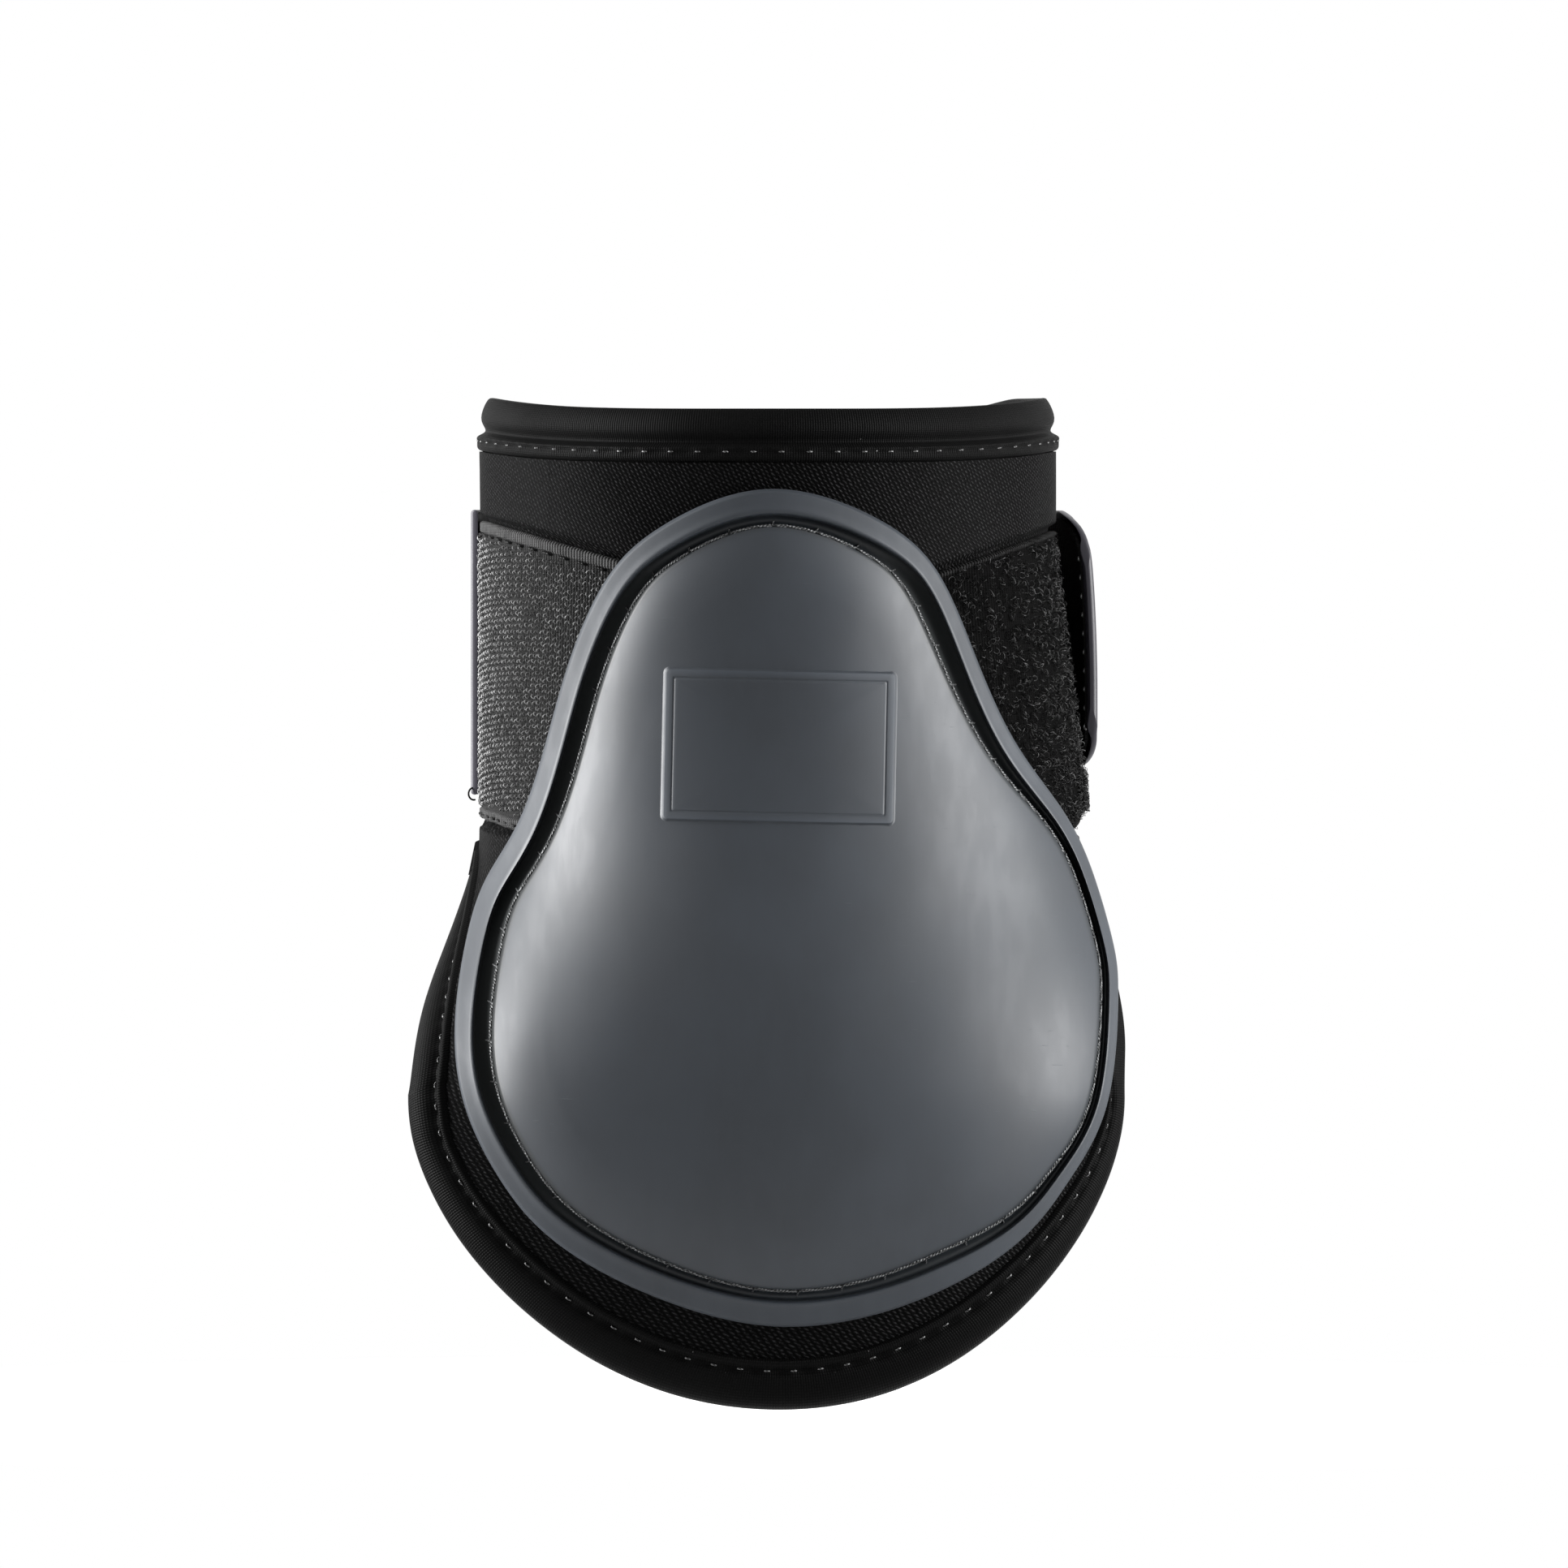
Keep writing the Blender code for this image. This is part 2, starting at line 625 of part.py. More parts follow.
def make_root(looks, root):
    """The pieces that stay with the front of the leg."""
    inside = -NEOPRENE - GAP - LINING
    make_strike_shell(looks["moulded"], root)
    make_shell_foam(looks["foam"], root)
    make_front_panel("front_neoprene", 36, neoprene_face, -NEOPRENE, looks["neoprene"], root)
    make_front_panel("front_lining", 36, lining_face, inside, looks["lining"], root)
    limit = FOLD_ANGLE - GAP / 2 / LEG_HALF_WIDTH
    make_collar("front_collar", 24, -limit, limit, looks["lining"], root)
    make_flap_binding(looks["lining"], root)
    left = (-LEFT_TAPE_FRONT_BOTTOM, -LEFT_TAPE_FRONT_TOP)
    make_tape("hook_tape_front", 10, 6, left, -limit, looks["hook"], root)
    right = (RIGHT_TAPE_FRONT_BOTTOM, RIGHT_TAPE_FRONT_TOP)
    make_tape("loop_tape_front", 10, 6, right, limit, looks["loop"], root)


def make_wing(word, side, looks, pivot):
    """The pieces of one wing."""
    inside = -NEOPRENE - GAP - LINING
    start = FOLD_ANGLE + GAP / 2 / LEG_HALF_WIDTH
    make_wing_panel(f"{word}_wing_neoprene", side, neoprene_face, -NEOPRENE, looks["neoprene"], pivot)
    make_wing_panel(f"{word}_wing_lining", side, lining_face, inside, looks["lining"], pivot)
    make_collar(f"{word}_wing_collar", 10, side * start, side * wing_end(side), looks["lining"], pivot)
    make_wing_binding(f"{word}_wing_binding", side, looks["lining"], pivot)
    end = LEFT_TAPE_END if side < 0 else RIGHT_TAPE_END
    kind = "hook" if side < 0 else "loop"
    make_tape(f"{kind}_tape_wing", 6, 6, (side * start, side * start), side * end, looks[kind], pivot)


def make_strap(looks, left_wing, strap, tab):
    """The closure strap: the anchor on the left wing, the elastic and the closing tab."""
    turn = 2 * math.pi
    joint = GAP / LEG_HALF_WIDTH
    start = FOLD_ANGLE + joint
    heights = (ANCHOR_BOTTOM, ANCHOR_TOP)
    outs = (GAP, GAP + ANCHOR_THICKNESS)
    make_band("anchor_tab", 6, 6, (-start, -ANCHOR_END), heights, outs, looks["moulded"], left_wing)
    ends = (turn - ANCHOR_END - joint, TAB_ROOT + joint)
    heights = (ELASTIC_BOTTOM, ELASTIC_TOP)
    outs = (GAP, GAP + ELASTIC_THICKNESS)
    make_band("strap_elastic", 22, 4, ends, heights, outs, looks["elastic"], strap)
    outs = (GAP, GAP + TAB_LINING)
    make_tab("tab_hook_lining", 12, 6, TAB_HEM, outs, looks["hook"], tab)
    outs = (GAP + TAB_LINING + GAP, GAP + TAB_LINING + GAP + TAB_COVER)
    make_tab("tab_cover", 14, 8, 0.0, outs, looks["moulded"], tab)


def main():
    for old in list(bpy.data.objects):
        bpy.data.objects.remove(old, do_unlink=True)
    collection = bpy.data.collections.new(COLLECTION)
    bpy.context.scene.collection.children.link(collection)
    looks = {
        "moulded": material("moulded_plastic", (0.085, 0.092, 0.100), 0.42),
        "foam": material("pad_foam", (0.02, 0.02, 0.02), 0.95),
        "neoprene": material("neoprene_cloth", (0.022, 0.022, 0.023), 0.85),
        "lining": material("jersey_lining", (0.006, 0.006, 0.006), 0.80),
        "hook": material("hook_tape", (0.055, 0.055, 0.055), 0.65),
        "loop": material("loop_tape", (0.008, 0.008, 0.008), 0.95),
        "elastic": material("elastic_webbing", (0.012, 0.012, 0.012), 0.85),
    }
    bulge = COLLAR_RIDGE + GAP
    left_fold = -left_half_width(LEFT_WING_BOTTOM) - bulge
    right_fold = right_half_width(RIGHT_WING_BOTTOM) + bulge
    root = add_pivot("leg_axis", Vector((0.0, 0.0, 0.0)))
    left_wing = add_pivot("left_wing_fold", Vector((left_fold, 0.0, 0.0)), root)
    right_wing = add_pivot("right_wing_fold", Vector((right_fold, 0.0, 0.0)), root)
    outside = GAP + ELASTIC_THICKNESS + GAP
    strap = add_pivot("strap_hinge", strap_point(-ANCHOR_END, 0.0, outside), left_wing)
    tab = add_pivot("tab_hinge", strap_point(TAB_ROOT, 0.0, outside), strap)
    make_root(looks, root)
    make_wing("left", -1, looks, left_wing)
    make_wing("right", 1, looks, right_wing)
    make_strap(looks, left_wing, strap, tab)


main()
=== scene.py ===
"""Looks of the short boot for a horse's fetlock: cloth, moulding, tapes, threads, light and camera.

Every piece is built here in mesh code on the surfaces of the solid model, whose sizes are repeated
below. Sizes are in metres, angles are counted from the front, + to the right. The chart that each
mesh carries holds millimetres along and across its own surface, and the materials weave on it.
"""

import math

import bpy
import numpy as np
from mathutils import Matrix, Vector


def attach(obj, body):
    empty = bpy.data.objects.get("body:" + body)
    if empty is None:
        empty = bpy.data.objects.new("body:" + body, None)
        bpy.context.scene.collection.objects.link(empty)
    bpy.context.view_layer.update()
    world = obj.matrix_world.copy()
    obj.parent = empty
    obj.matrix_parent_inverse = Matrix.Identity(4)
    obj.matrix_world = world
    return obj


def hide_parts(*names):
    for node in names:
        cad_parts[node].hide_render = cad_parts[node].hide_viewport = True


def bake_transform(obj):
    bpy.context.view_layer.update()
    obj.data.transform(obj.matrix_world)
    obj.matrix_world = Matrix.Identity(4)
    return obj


MM = 0.001

# Sizes repeated from the solid model
GAP = 0.0003
SHELL_SEAT = 0.0005
NEOPRENE = 0.003
LINING = 0.0017
LEG_HALF_WIDTH = 0.0479
LEG_HALF_DEPTH = 0.042
BACK_HALF_DEPTH = 0.042
RIGHT_LEAN = 0.0046
LEAN_TOP = 0.150
LEAN_BOTTOM = 0.100
LEFT_FLARE_WIDTH = 0.0261
LEFT_FLARE_TOP = 0.095
LEFT_FLARE_BOTTOM = 0.046
RIGHT_FLARE_WIDTH = 0.0115
RIGHT_FLARE_TOP = 0.103
RIGHT_FLARE_BOTTOM = 0.060
BELLY_DEPTH = 0.015
BELLY_TOP = 0.120
BELLY_BOTTOM = 0.050
TUCK_DEPTH = 0.0125
FORWARD_SHIFT = 0.017
SHIFT_TOP = 0.088
SHIFT_BOTTOM = 0.052
TOP = 0.1680
COLLAR_HEIGHT = 0.0092
COLLAR_BULGE = 0.0006
ROLL_TURN_SHARE = 0.82
FLAP_LOWER_HEIGHT = 0.053
RIGHT_NOTCH_ANGLE = math.radians(76)
NOTCH_BEND_SHARE = 1.45
LEFT_WING_BOTTOM = 0.089
LEFT_NOTCH_RISE = 0.004
BINDING_WIDTH = 0.0056
BINDING_BULGE = 0.0005
CHART_RADIUS = 0.055
FOLD_ANGLE = math.radians(90)
LEFT_WING_END = math.radians(146)
RIGHT_WING_END = math.radians(133)
WING_CORNER = 0.011
PRESS_DEPTH = 0.0014
TAPE_THICKNESS = 0.001
TAPE_HEIGHT = 0.0495
TAPE_TOP = 0.1476
TAPE_FALL = 0.0135
LEFT_TAPE_FRONT_TOP = math.radians(27)
LEFT_TAPE_FRONT_BOTTOM = math.radians(48)
RIGHT_TAPE_FRONT_TOP = math.radians(25)
RIGHT_TAPE_FRONT_BOTTOM = math.radians(60)
LEFT_TAPE_END = math.radians(114)
RIGHT_TAPE_END = math.radians(124)
SHELL_CENTRE = 0.0030
SHELL_WIDTH = 0.1096
SHELL_TOP = 0.1528
RIM_HEIGHT = 0.0030
GROOVE_FLOOR = 0.0011
DOME_STEP = 0.0030
DOME_CROWN = 0.0066
SHELL_WALL = 0.0022
SHELL_POLE_SHARE = 0.52
SHELL_OUTLINE_SHARES = (
    (-0.04, 1.000), (0.29, 0.961), (0.466, 0.894), (0.573, 0.797), (0.685, 0.700), (0.812, 0.627),
    (0.913, 0.554), (0.986, 0.457), (1.000, 0.385), (0.964, 0.263), (0.839, 0.167), (0.593, 0.070),
    (0.008, 0.000), (-0.586, 0.070), (-0.850, 0.167), (-0.969, 0.263), (-1.000, 0.360), (-0.971, 0.457),
    (-0.913, 0.531), (-0.810, 0.603), (-0.727, 0.700), (-0.656, 0.797), (-0.544, 0.894), (-0.361, 0.961),
)
ELASTIC_THICKNESS = 0.0017
ELASTIC_BOTTOM = 0.1035
ELASTIC_TOP = 0.1480
ANCHOR_THICKNESS = 0.0012
ANCHOR_BOTTOM = 0.1020
ANCHOR_TOP = 0.1494
ANCHOR_END = math.radians(109)
TAB_BOTTOM = 0.1068
TAB_TOP = 0.1493
TAB_TIP = math.radians(88)
TAB_ROOT = math.radians(141)
TAB_CORNER = 0.010
TAB_COVER = 0.0009
TAB_LINING = 0.0006
TAB_HEM = 0.0013

# Sizes that differ from the solid model's, to follow the photo closely
FRONT_DIP = 0.0020
COLLAR_RIDGE = 0.0005
LEFT_NOTCH_ANGLE = math.radians(85)
RIGHT_WING_BOTTOM = 0.0993
RIGHT_NOTCH_RISE = 0.006
BINDING_RIDGE = 0.0008
BINDING_DIP = 0.0001
FLAP_WIDER_SHARE = 0.57
PRESS_RAMP = 0.0012
PRESS_MARGIN = 0.0004
SHELL_BOTTOM = 0.0156
RIM_WIDTH = 0.0033
GROOVE_WIDTH = 0.0030
DOME_SHOULDER = 0.0085
DOME_RISE = 0.0052
DOME_SLOPE = 0.0011
SHOULDER_POWER = 2.5
RIM_WALL_SHARE = 0.14
RIM_RIDGE_SHARE = 0.20
RIM_STEP_SHARE = 0.09
# Share of the groove's painted shade kept at its top and bottom
GROOVE_TOP_SHADE_SHARE = 0.4
GROOVE_NARROWING = 0.0011
GROOVE_WIDENING = 0.0009
COLLAR_SEAM = 0.0071
BINDING_SEAM = 0.0042
FLAP_LEFT_HALF = 0.0603
FLAP_RIGHT_HALF = 0.0596
FLAP_FOOT = 0.0016
FLAP_FOOT_SHIFT = 0.0021
FLAP_FLAT_SHARE = 0.030
RIM_SQUEEZE_SHARE = 0.56
GROOVE_SQUEEZE_SHARE = 0.42
SQUEEZE_START_SHARE = 0.45
LEFT_TRIM = 0.0004
RIGHT_TAPE_DROP = 0.0017
RIGHT_TAPE_FALL = 0.0033
RIGHT_FOOT_RISE = 0.0026
RIGHT_FOOT_ANGLE = math.radians(66)
GROOVE_SINK = 0.0007
TAB_LEAN = 0.0016
TAB_CURL = 0.0050
TAB_CURL_BOTTOM = 0.118
TAB_CURL_REACH = 0.0313
TAB_FOOT_CURL = 0.0012
TAB_FOOT_REACH = 0.0045
TAB_LIP = 0.0013
TAB_LIP_THICKNESS = 0.0006
COLLAR_LEAN = 0.0011
COLLAR_END_SHARE = 0.006
WING_FALL = 0.0014
LEFT_FALL_REACH = math.radians(54)
RIGHT_FALL_REACH = math.radians(19)
THREAD_SINK = 0.0007

# Places on the shell's section that follow from these sizes
SHOULDER_INSET = RIM_WIDTH + GROOVE_WIDTH + DOME_SHOULDER
THREAD_INSET = RIM_WIDTH + GROOVE_WIDTH * 0.92
THREAD_HEIGHT = DOME_STEP - THREAD_SINK

# Angle past each of the strap's two hinges; the points placed with it are not used
STRAP_BEND = math.radians(9)

# Bare framed panel on the shell's upper front
PLATE_CENTRE = (0.0019, 0.1106)
PLATE_WIDTH = 0.0385
PLATE_HEIGHT = 0.0254
PLATE_TURN = math.radians(-1.2)
PLATE_RISE = 0.00045
PLATE_BEVEL = 0.0006
PLATE_CORNER = 0.0011
PLATE_LINE_INSET = 0.0018
PLATE_LINE_WIDTH = 0.00022
PLATE_LINE_DEPTH = 0.00012
PLATE_UNDER_SHARES = (0.02, 0.2, 0.4, 0.6, 0.8, 1.0)

# Stitching
GROOVE_STITCH = 0.0072
GROOVE_PLY = 0.00017
COLLAR_STITCH = 0.0046
BINDING_STITCH = 0.0044
TAPE_STITCH = 0.0031
THREAD = 0.00015
PUCKER = 0.00045
TAB_SEAM = 0.0021
SEAM_STITCH = 0.0030
STRAY_REACH = 0.00085

# Reach of a seam's pull, rounded edges, and the unevenness of cloth and moulding
COLLAR_SEAM_REACH = 0.00042
BINDING_SEAM_REACH = 0.00040
ANCHOR_EDGE = 0.0006
ELASTIC_EDGE = 0.0005
TAB_EDGE = 0.0007
TAB_BEAD = 0.00022
TAB_BEAD_INSET = 0.0011
TAB_BEAD_REACH = 0.0005
WAVE_PITCHES = (0.012, 0.045)
KNIT_WAVE = 0.00025
LINING_WAVE = 0.0002
COLLAR_WAVE = 0.00012
BINDING_WAVE = 0.00015
ELASTIC_WAVE = 0.00012
MOULD_WAVE = 0.00013
TAPE_WAVE = 0.00016

# Hooks and loops
HOOK_PITCH = 0.00082
HOOK_STEP = 0.00105
HOOK_HEIGHT = 0.00066
HOOK_WIRE = 0.00008
SELVAGE = 0.0017
FIELD_MARGIN_SHARE = 1.7
LOOP_SELVAGE = 0.0006
LOOP_WIRE = 0.000050
LOOP_SIZE = 0.00052
LOOP_COUNT = 5200
LOOP_EDGE_SHARE = 0.05

# Pitches of the weaves, in the charts' millimetres
TWILL_LINE_PITCH = 0.92
TWILL_DOT_PITCH = 0.58
WALE_PITCH = 0.42
COURSE_PITCH = 0.30
TAPE_RIB_PITCH = 0.70
TAPE_WEFT_PITCH = 0.40
FIBRE_PITCH = 0.3
WEBBING_RIB_PITCH = 0.9
WEBBING_WARP_PITCH = 0.55

# Depths of the materials' relief
MOULD_RELIEF = 0.000012
TWILL_RELIEF = 0.00012
JERSEY_RELIEF = 0.00007
TAPE_RELIEF = 0.00014
FIBRE_RELIEF = 0.00001
THREAD_RELIEF = 0.00006
WEBBING_RELIEF = 0.0002
FOAM_RELIEF = 0.0003

# Camera and room
VIEW_CENTRE = (0.0027, 0.1038)
VIEW_WIDTH = 0.2608
VIEW_DISTANCE = 3.2
VIEW_RISE = math.radians(0.75)
SENSOR = 36.0
WHITE = (1.0, 1.0, 1.0, 1.0)
ROOM_COLOR = (0.10, 0.10, 0.105, 1.0)
FLOOR_COLOR = (0.55, 0.55, 0.55, 1.0)
FLOOR_REACH = 4.0
FLOOR_DROP = 0.0006
FLOOR_FADE_START = 0.10
FLOOR_FADE_END = 0.22
FLOOR_RING_SHARES = (0.02, 0.5, 1.0)
VIEW_CLIP = 20.0
LAMP_TARGET = (0.0, 0.0, 0.09)
LAMPS = (
    ("left_softbox", (-0.80, 0.06, 0.20), (0.42, 0.80), 36.0),
    ("right_softbox", (0.78, -0.18, 0.20), (0.58, 0.80), 28.0),
    ("top_softbox", (0.0, -0.45, 0.85), (1.0, 0.6), 0.6),
)

# Tints of the materials
NEUTRAL = (1.0, 1.0, 1.0)
COOL = (0.82, 1.0, 1.26)
VIOLET = (1.0, 0.95, 1.22)
# Painted shade for the shell's groove, which is moulded in the shell's own plastic
GROOVE_PAINTED_SHADE = (0.0035, 0.0048, 0.0050, 1.0)

draws = np.random.default_rng(11)
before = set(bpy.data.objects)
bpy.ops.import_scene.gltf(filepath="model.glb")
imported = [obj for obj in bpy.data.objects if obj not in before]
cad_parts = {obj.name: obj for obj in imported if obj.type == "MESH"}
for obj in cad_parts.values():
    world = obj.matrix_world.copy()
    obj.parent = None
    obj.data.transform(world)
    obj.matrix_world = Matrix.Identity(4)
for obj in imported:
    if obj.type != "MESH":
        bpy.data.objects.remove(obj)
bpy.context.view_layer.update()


def ease(share):
    """Goes smoothly from 0 to 1."""
    share = np.clip(share, 0.0, 1.0)
    return share * share * (3 - 2 * share)


def left_half_width(z):
    drop = (LEFT_FLARE_TOP - z) / (LEFT_FLARE_TOP - LEFT_FLARE_BOTTOM)
    return LEG_HALF_WIDTH + LEFT_FLARE_WIDTH * ease(drop)


def right_half_width(z):
    lean = ease((LEAN_TOP - z) / (LEAN_TOP - LEAN_BOTTOM))
    drop = (RIGHT_FLARE_TOP - z) / (RIGHT_FLARE_TOP - RIGHT_FLARE_BOTTOM)
    return LEG_HALF_WIDTH + RIGHT_LEAN * lean + RIGHT_FLARE_WIDTH * ease(drop)


def tuck(z):
    return TUCK_DEPTH * (np.maximum(BELLY_BOTTOM - z, 0) / BELLY_BOTTOM) ** 2


def front_depth(z):
    belly = ease((BELLY_TOP - z) / (BELLY_TOP - BELLY_BOTTOM))
    return LEG_HALF_DEPTH + BELLY_DEPTH * belly - tuck(z)


def shift(z):
    return FORWARD_SHIFT * ease((SHIFT_TOP - z) / (SHIFT_TOP - SHIFT_BOTTOM)) - tuck(z)


def oval_x(angle, left, right):
    turn = np.sin(angle)
    return (left + right) / 2 * turn + (right - left) / 2 * turn**2


def body_point(angle, z, out):
    """Points at angles from the front, a distance outside the body's free surface."""
    angle, z, out = np.broadcast_arrays(angle, z, out)
    x = oval_x(angle, left_half_width(z) + out, right_half_width(z) + out)
    deep = np.where(np.abs(angle) > FOLD_ANGLE, BACK_HALF_DEPTH, front_depth(z) - shift(z)) + out
    return np.stack((x, -deep * np.cos(angle) - shift(z), z), axis=-1)


def angle_at(x, z, out):
    left, right = left_half_width(z) + out, right_half_width(z) + out
    mean, skew = (left + right) / 2, (right - left) / 2
    turn = 2 * x / (mean + np.sqrt(mean**2 + 4 * skew * x))
    return np.arcsin(np.clip(turn, -1.0, 1.0))


def front_point(x, z, out):
    """Points that the front view shows at x and z, a distance outside the body's free surface."""
    return body_point(angle_at(x, z, out), z, out)


def tape_top(angle):
    """Height of the tapes' upper edge, which falls from the sides to the front, more on the right."""
    share = 1 - np.sin(np.minimum(np.abs(angle), FOLD_ANGLE))
    right = RIGHT_TAPE_DROP + RIGHT_TAPE_FALL * share
    return TAPE_TOP - TAPE_FALL * share - np.where(np.asarray(angle) > 0, right, 0.0)


def tape_foot(angle):
    """Height of the tapes' lower edge, which turns up round the right side."""
    rise = ease((np.asarray(angle) - RIGHT_FOOT_ANGLE) / (FOLD_ANGLE - RIGHT_FOOT_ANGLE))
    return tape_top(angle) - TAPE_HEIGHT + RIGHT_FOOT_RISE * rise


def press(angle, z):
    """How deep the strap's band presses into the body."""
    upper = tape_top(angle) + PRESS_MARGIN
    lower = tape_foot(angle) - PRESS_MARGIN
    above = ease((upper + PRESS_RAMP - z) / PRESS_RAMP)
    return PRESS_DEPTH * above * ease((z - lower + PRESS_RAMP) / PRESS_RAMP)


def pressed_out(angle, z, out):
    """Distance out of a roll's point, whose outer half gives way where the band presses."""
    depth = press(angle, z)
    given = np.minimum(out, 0.0) + np.maximum(out, 0.0) * (1 - depth / PRESS_DEPTH) - depth
    return np.where(out < -NEOPRENE / 2, out, given)


def covered(angle, z):
    """1 on the stretch of the flap's edge that the shell's rim holds flat, 0 elsewhere."""
    return np.where(angle > 0, ease((z - FLAP_LOWER_HEIGHT) / BINDING_WIDTH), 0.0)


def top_edge(angle):
    """Height of the upper edge, lower at the front and at the wings' rear ends."""
    end = np.where(np.asarray(angle) < 0, LEFT_WING_END, RIGHT_WING_END)
    reach = np.where(np.asarray(angle) < 0, LEFT_FALL_REACH, RIGHT_FALL_REACH)
    fall = WING_FALL * ease((np.abs(angle) - end + reach) / reach)
    return TOP - FRONT_DIP * ease(np.cos(np.minimum(np.abs(angle), FOLD_ANGLE))) - fall


def wing_bottom(side):
    return np.where(np.asarray(side) < 0, LEFT_WING_BOTTOM, RIGHT_WING_BOTTOM)


def wing_end(side):
    return LEFT_WING_END if side < 0 else RIGHT_WING_END


def flap_edge(share):
    """Angle and height on the lower edge: -1 is the left fold, 0 the middle and 1 the right fold."""
    lower_share = 0.54
    upper_share = 0.84
    side = np.where(share < 0, -1.0, 1.0)
    half = np.where(share < 0, FLAP_LEFT_HALF, FLAP_RIGHT_HALF)
    along = np.abs(share)
    turn = math.pi / 2 * np.minimum(along / lower_share, 1)
    low_z = FLAP_LOWER_HEIGHT - (FLAP_LOWER_HEIGHT - FLAP_FOOT) * np.cos(turn)
    flat = half * FLAP_FLAT_SHARE * np.sin(2 * turn) ** 2
    low_x = side * (half * np.sin(turn) - flat) + FLAP_FOOT_SHIFT * np.cos(turn) ** 2
    low_angle = angle_at(low_x, low_z, 0.0)
    widest = np.abs(angle_at(side * half, FLAP_LOWER_HEIGHT, 0.0))
    sweep = np.where(side < 0, LEFT_NOTCH_ANGLE, RIGHT_NOTCH_ANGLE) - widest
    rise = np.where(side < 0, LEFT_NOTCH_RISE, RIGHT_NOTCH_RISE)
    notch_z = wing_bottom(side) - rise
    climb = notch_z - FLAP_LOWER_HEIGHT
    up = np.clip((along - lower_share) / (upper_share - lower_share), 0, 1)
    up_angle = side * (widest + sweep * up**NOTCH_BEND_SHARE)
    past = np.clip((along - upper_share) / (1 - upper_share), 0, 1)
    first, second, third = (1 - past) ** 2, 2 * past * (1 - past), past**2
    middle = widest + sweep + NOTCH_BEND_SHARE * sweep * rise / climb
    last_angle = side * (first * (widest + sweep) + second * middle + third * FOLD_ANGLE)
    last_z = first * notch_z + (second + third) * wing_bottom(side)
    where = [along <= lower_share, along <= upper_share]
    angle = np.select(where, [low_angle, up_angle], last_angle)
    return angle, np.select(where, [low_z, FLAP_LOWER_HEIGHT + climb * up], last_z)


def inset_from(edge, share, inset):
    """Angle and height a distance up from an edge, square to it, as on the body laid flat."""
    step_share = 0.004
    before = edge(np.maximum(share - step_share, -1.0))
    after = edge(np.minimum(share + step_share, 1.0))
    run, rise = (after[0] - before[0]) * CHART_RADIUS, after[1] - before[1]
    length = np.hypot(run, rise)
    angle, z = edge(share)
    return angle - rise / length * inset / CHART_RADIUS, z + run / length * inset


def wing_run(side):
    """Lengths of a wing's edge laid flat: along its foot, round its corner and up its rear edge."""
    run = (wing_end(side) - FOLD_ANGLE) * LEG_HALF_WIDTH - WING_CORNER
    rise = TOP - WING_FALL - COLLAR_HEIGHT - wing_bottom(side) - WING_CORNER
    return run, WING_CORNER * math.pi / 2, rise


def edge_chart(side, station, across):
    """Angle and height a distance in from a side's lower edge, along the flap a longer one.

    The station goes from 0 at the flap's middle over 1 at the fold to 2 at the top of the wing's
    rear edge.
    """
    wider = 1 + FLAP_WIDER_SHARE * (1 - ease((station - 0.6) / 0.4))
    station, across = np.broadcast_arrays(station, across * wider)
    flap_angle, flap_z = inset_from(flap_edge, side * np.minimum(station, 1.0), across)
    run, bend, rise = wing_run(side)
    distance = (station - 1) * (run + bend + rise)
    turn = np.clip((distance - run) / WING_CORNER, 0, math.pi / 2)
    reach = WING_CORNER - across
    flat_x = np.minimum(distance, run) + reach * np.sin(turn)
    upright = np.maximum(distance - run - bend, 0)
    flat_z = wing_bottom(side) + WING_CORNER + upright - reach * np.cos(turn)
    on_flap = station <= 1
    angle = np.where(on_flap, flap_angle, side * (FOLD_ANGLE + flat_x / LEG_HALF_WIDTH))
    up = np.clip((distance - run - bend) / rise, 0, 1)
    flat_z = flat_z + up**2 * (top_edge(angle) - TOP + WING_FALL)
    return angle, np.where(on_flap, flap_z, flat_z)


def closed_spline(points):
    """Smooth closed curve through the points, as a function of turns from 0 to 1."""
    count = len(points)
    known = np.array(points)
    system = 4 * np.eye(count) + np.roll(np.eye(count), 1, axis=0) + np.roll(np.eye(count), -1, axis=0)
    slopes = np.linalg.solve(system, 3 * (np.roll(known, -1, axis=0) - np.roll(known, 1, axis=0)))

    def place(turn):
        place_on = np.asarray(turn) % 1.0 * count
        start = np.floor(place_on).astype(int) % count
        end = (start + 1) % count
        along = (place_on - np.floor(place_on))[..., None]
        rise = known[end] - known[start]
        bend = slopes[start] * along * (1 - along) ** 2 - slopes[end] * along**2 * (1 - along)
        return known[start] + rise * along**2 * (3 - 2 * along) + bend

    return place


shell_shares = closed_spline(SHELL_OUTLINE_SHARES)


def squeezed(share, inset):
    """Insets from the shell's edge, whose rim and groove turn away and look narrower on the right."""
    turned = ease((share - SQUEEZE_START_SHARE) / (1 - SQUEEZE_START_SHARE))
    rim = np.clip(inset, 0, RIM_WIDTH) * (1 - RIM_SQUEEZE_SHARE * turned)
    groove = np.clip(inset - RIM_WIDTH, 0, GROOVE_WIDTH) * (1 - GROOVE_SQUEEZE_SHARE * turned)
    trim = LEFT_TRIM * ease(-share / SQUEEZE_START_SHARE)
    return trim + rim + groove + np.maximum(inset - RIM_WIDTH - GROOVE_WIDTH, 0)


def shell_outline(turn, inset):
    """Points on the shell's outline in the front view, a distance in from its outer edge."""
    inset = squeezed(shell_shares(turn)[..., 0], inset)
    size = np.array((SHELL_WIDTH / 2, SHELL_TOP - SHELL_BOTTOM))
    step_share = 0.002
    along = (shell_shares(turn + step_share) - shell_shares(turn - step_share)) * size
    along = along / np.linalg.norm(along, axis=-1, keepdims=True)
    place = shell_shares(turn) * size + np.array((SHELL_CENTRE, SHELL_BOTTOM))
    return place[..., 0] + along[..., 1] * inset, place[..., 1] - along[..., 0] * inset


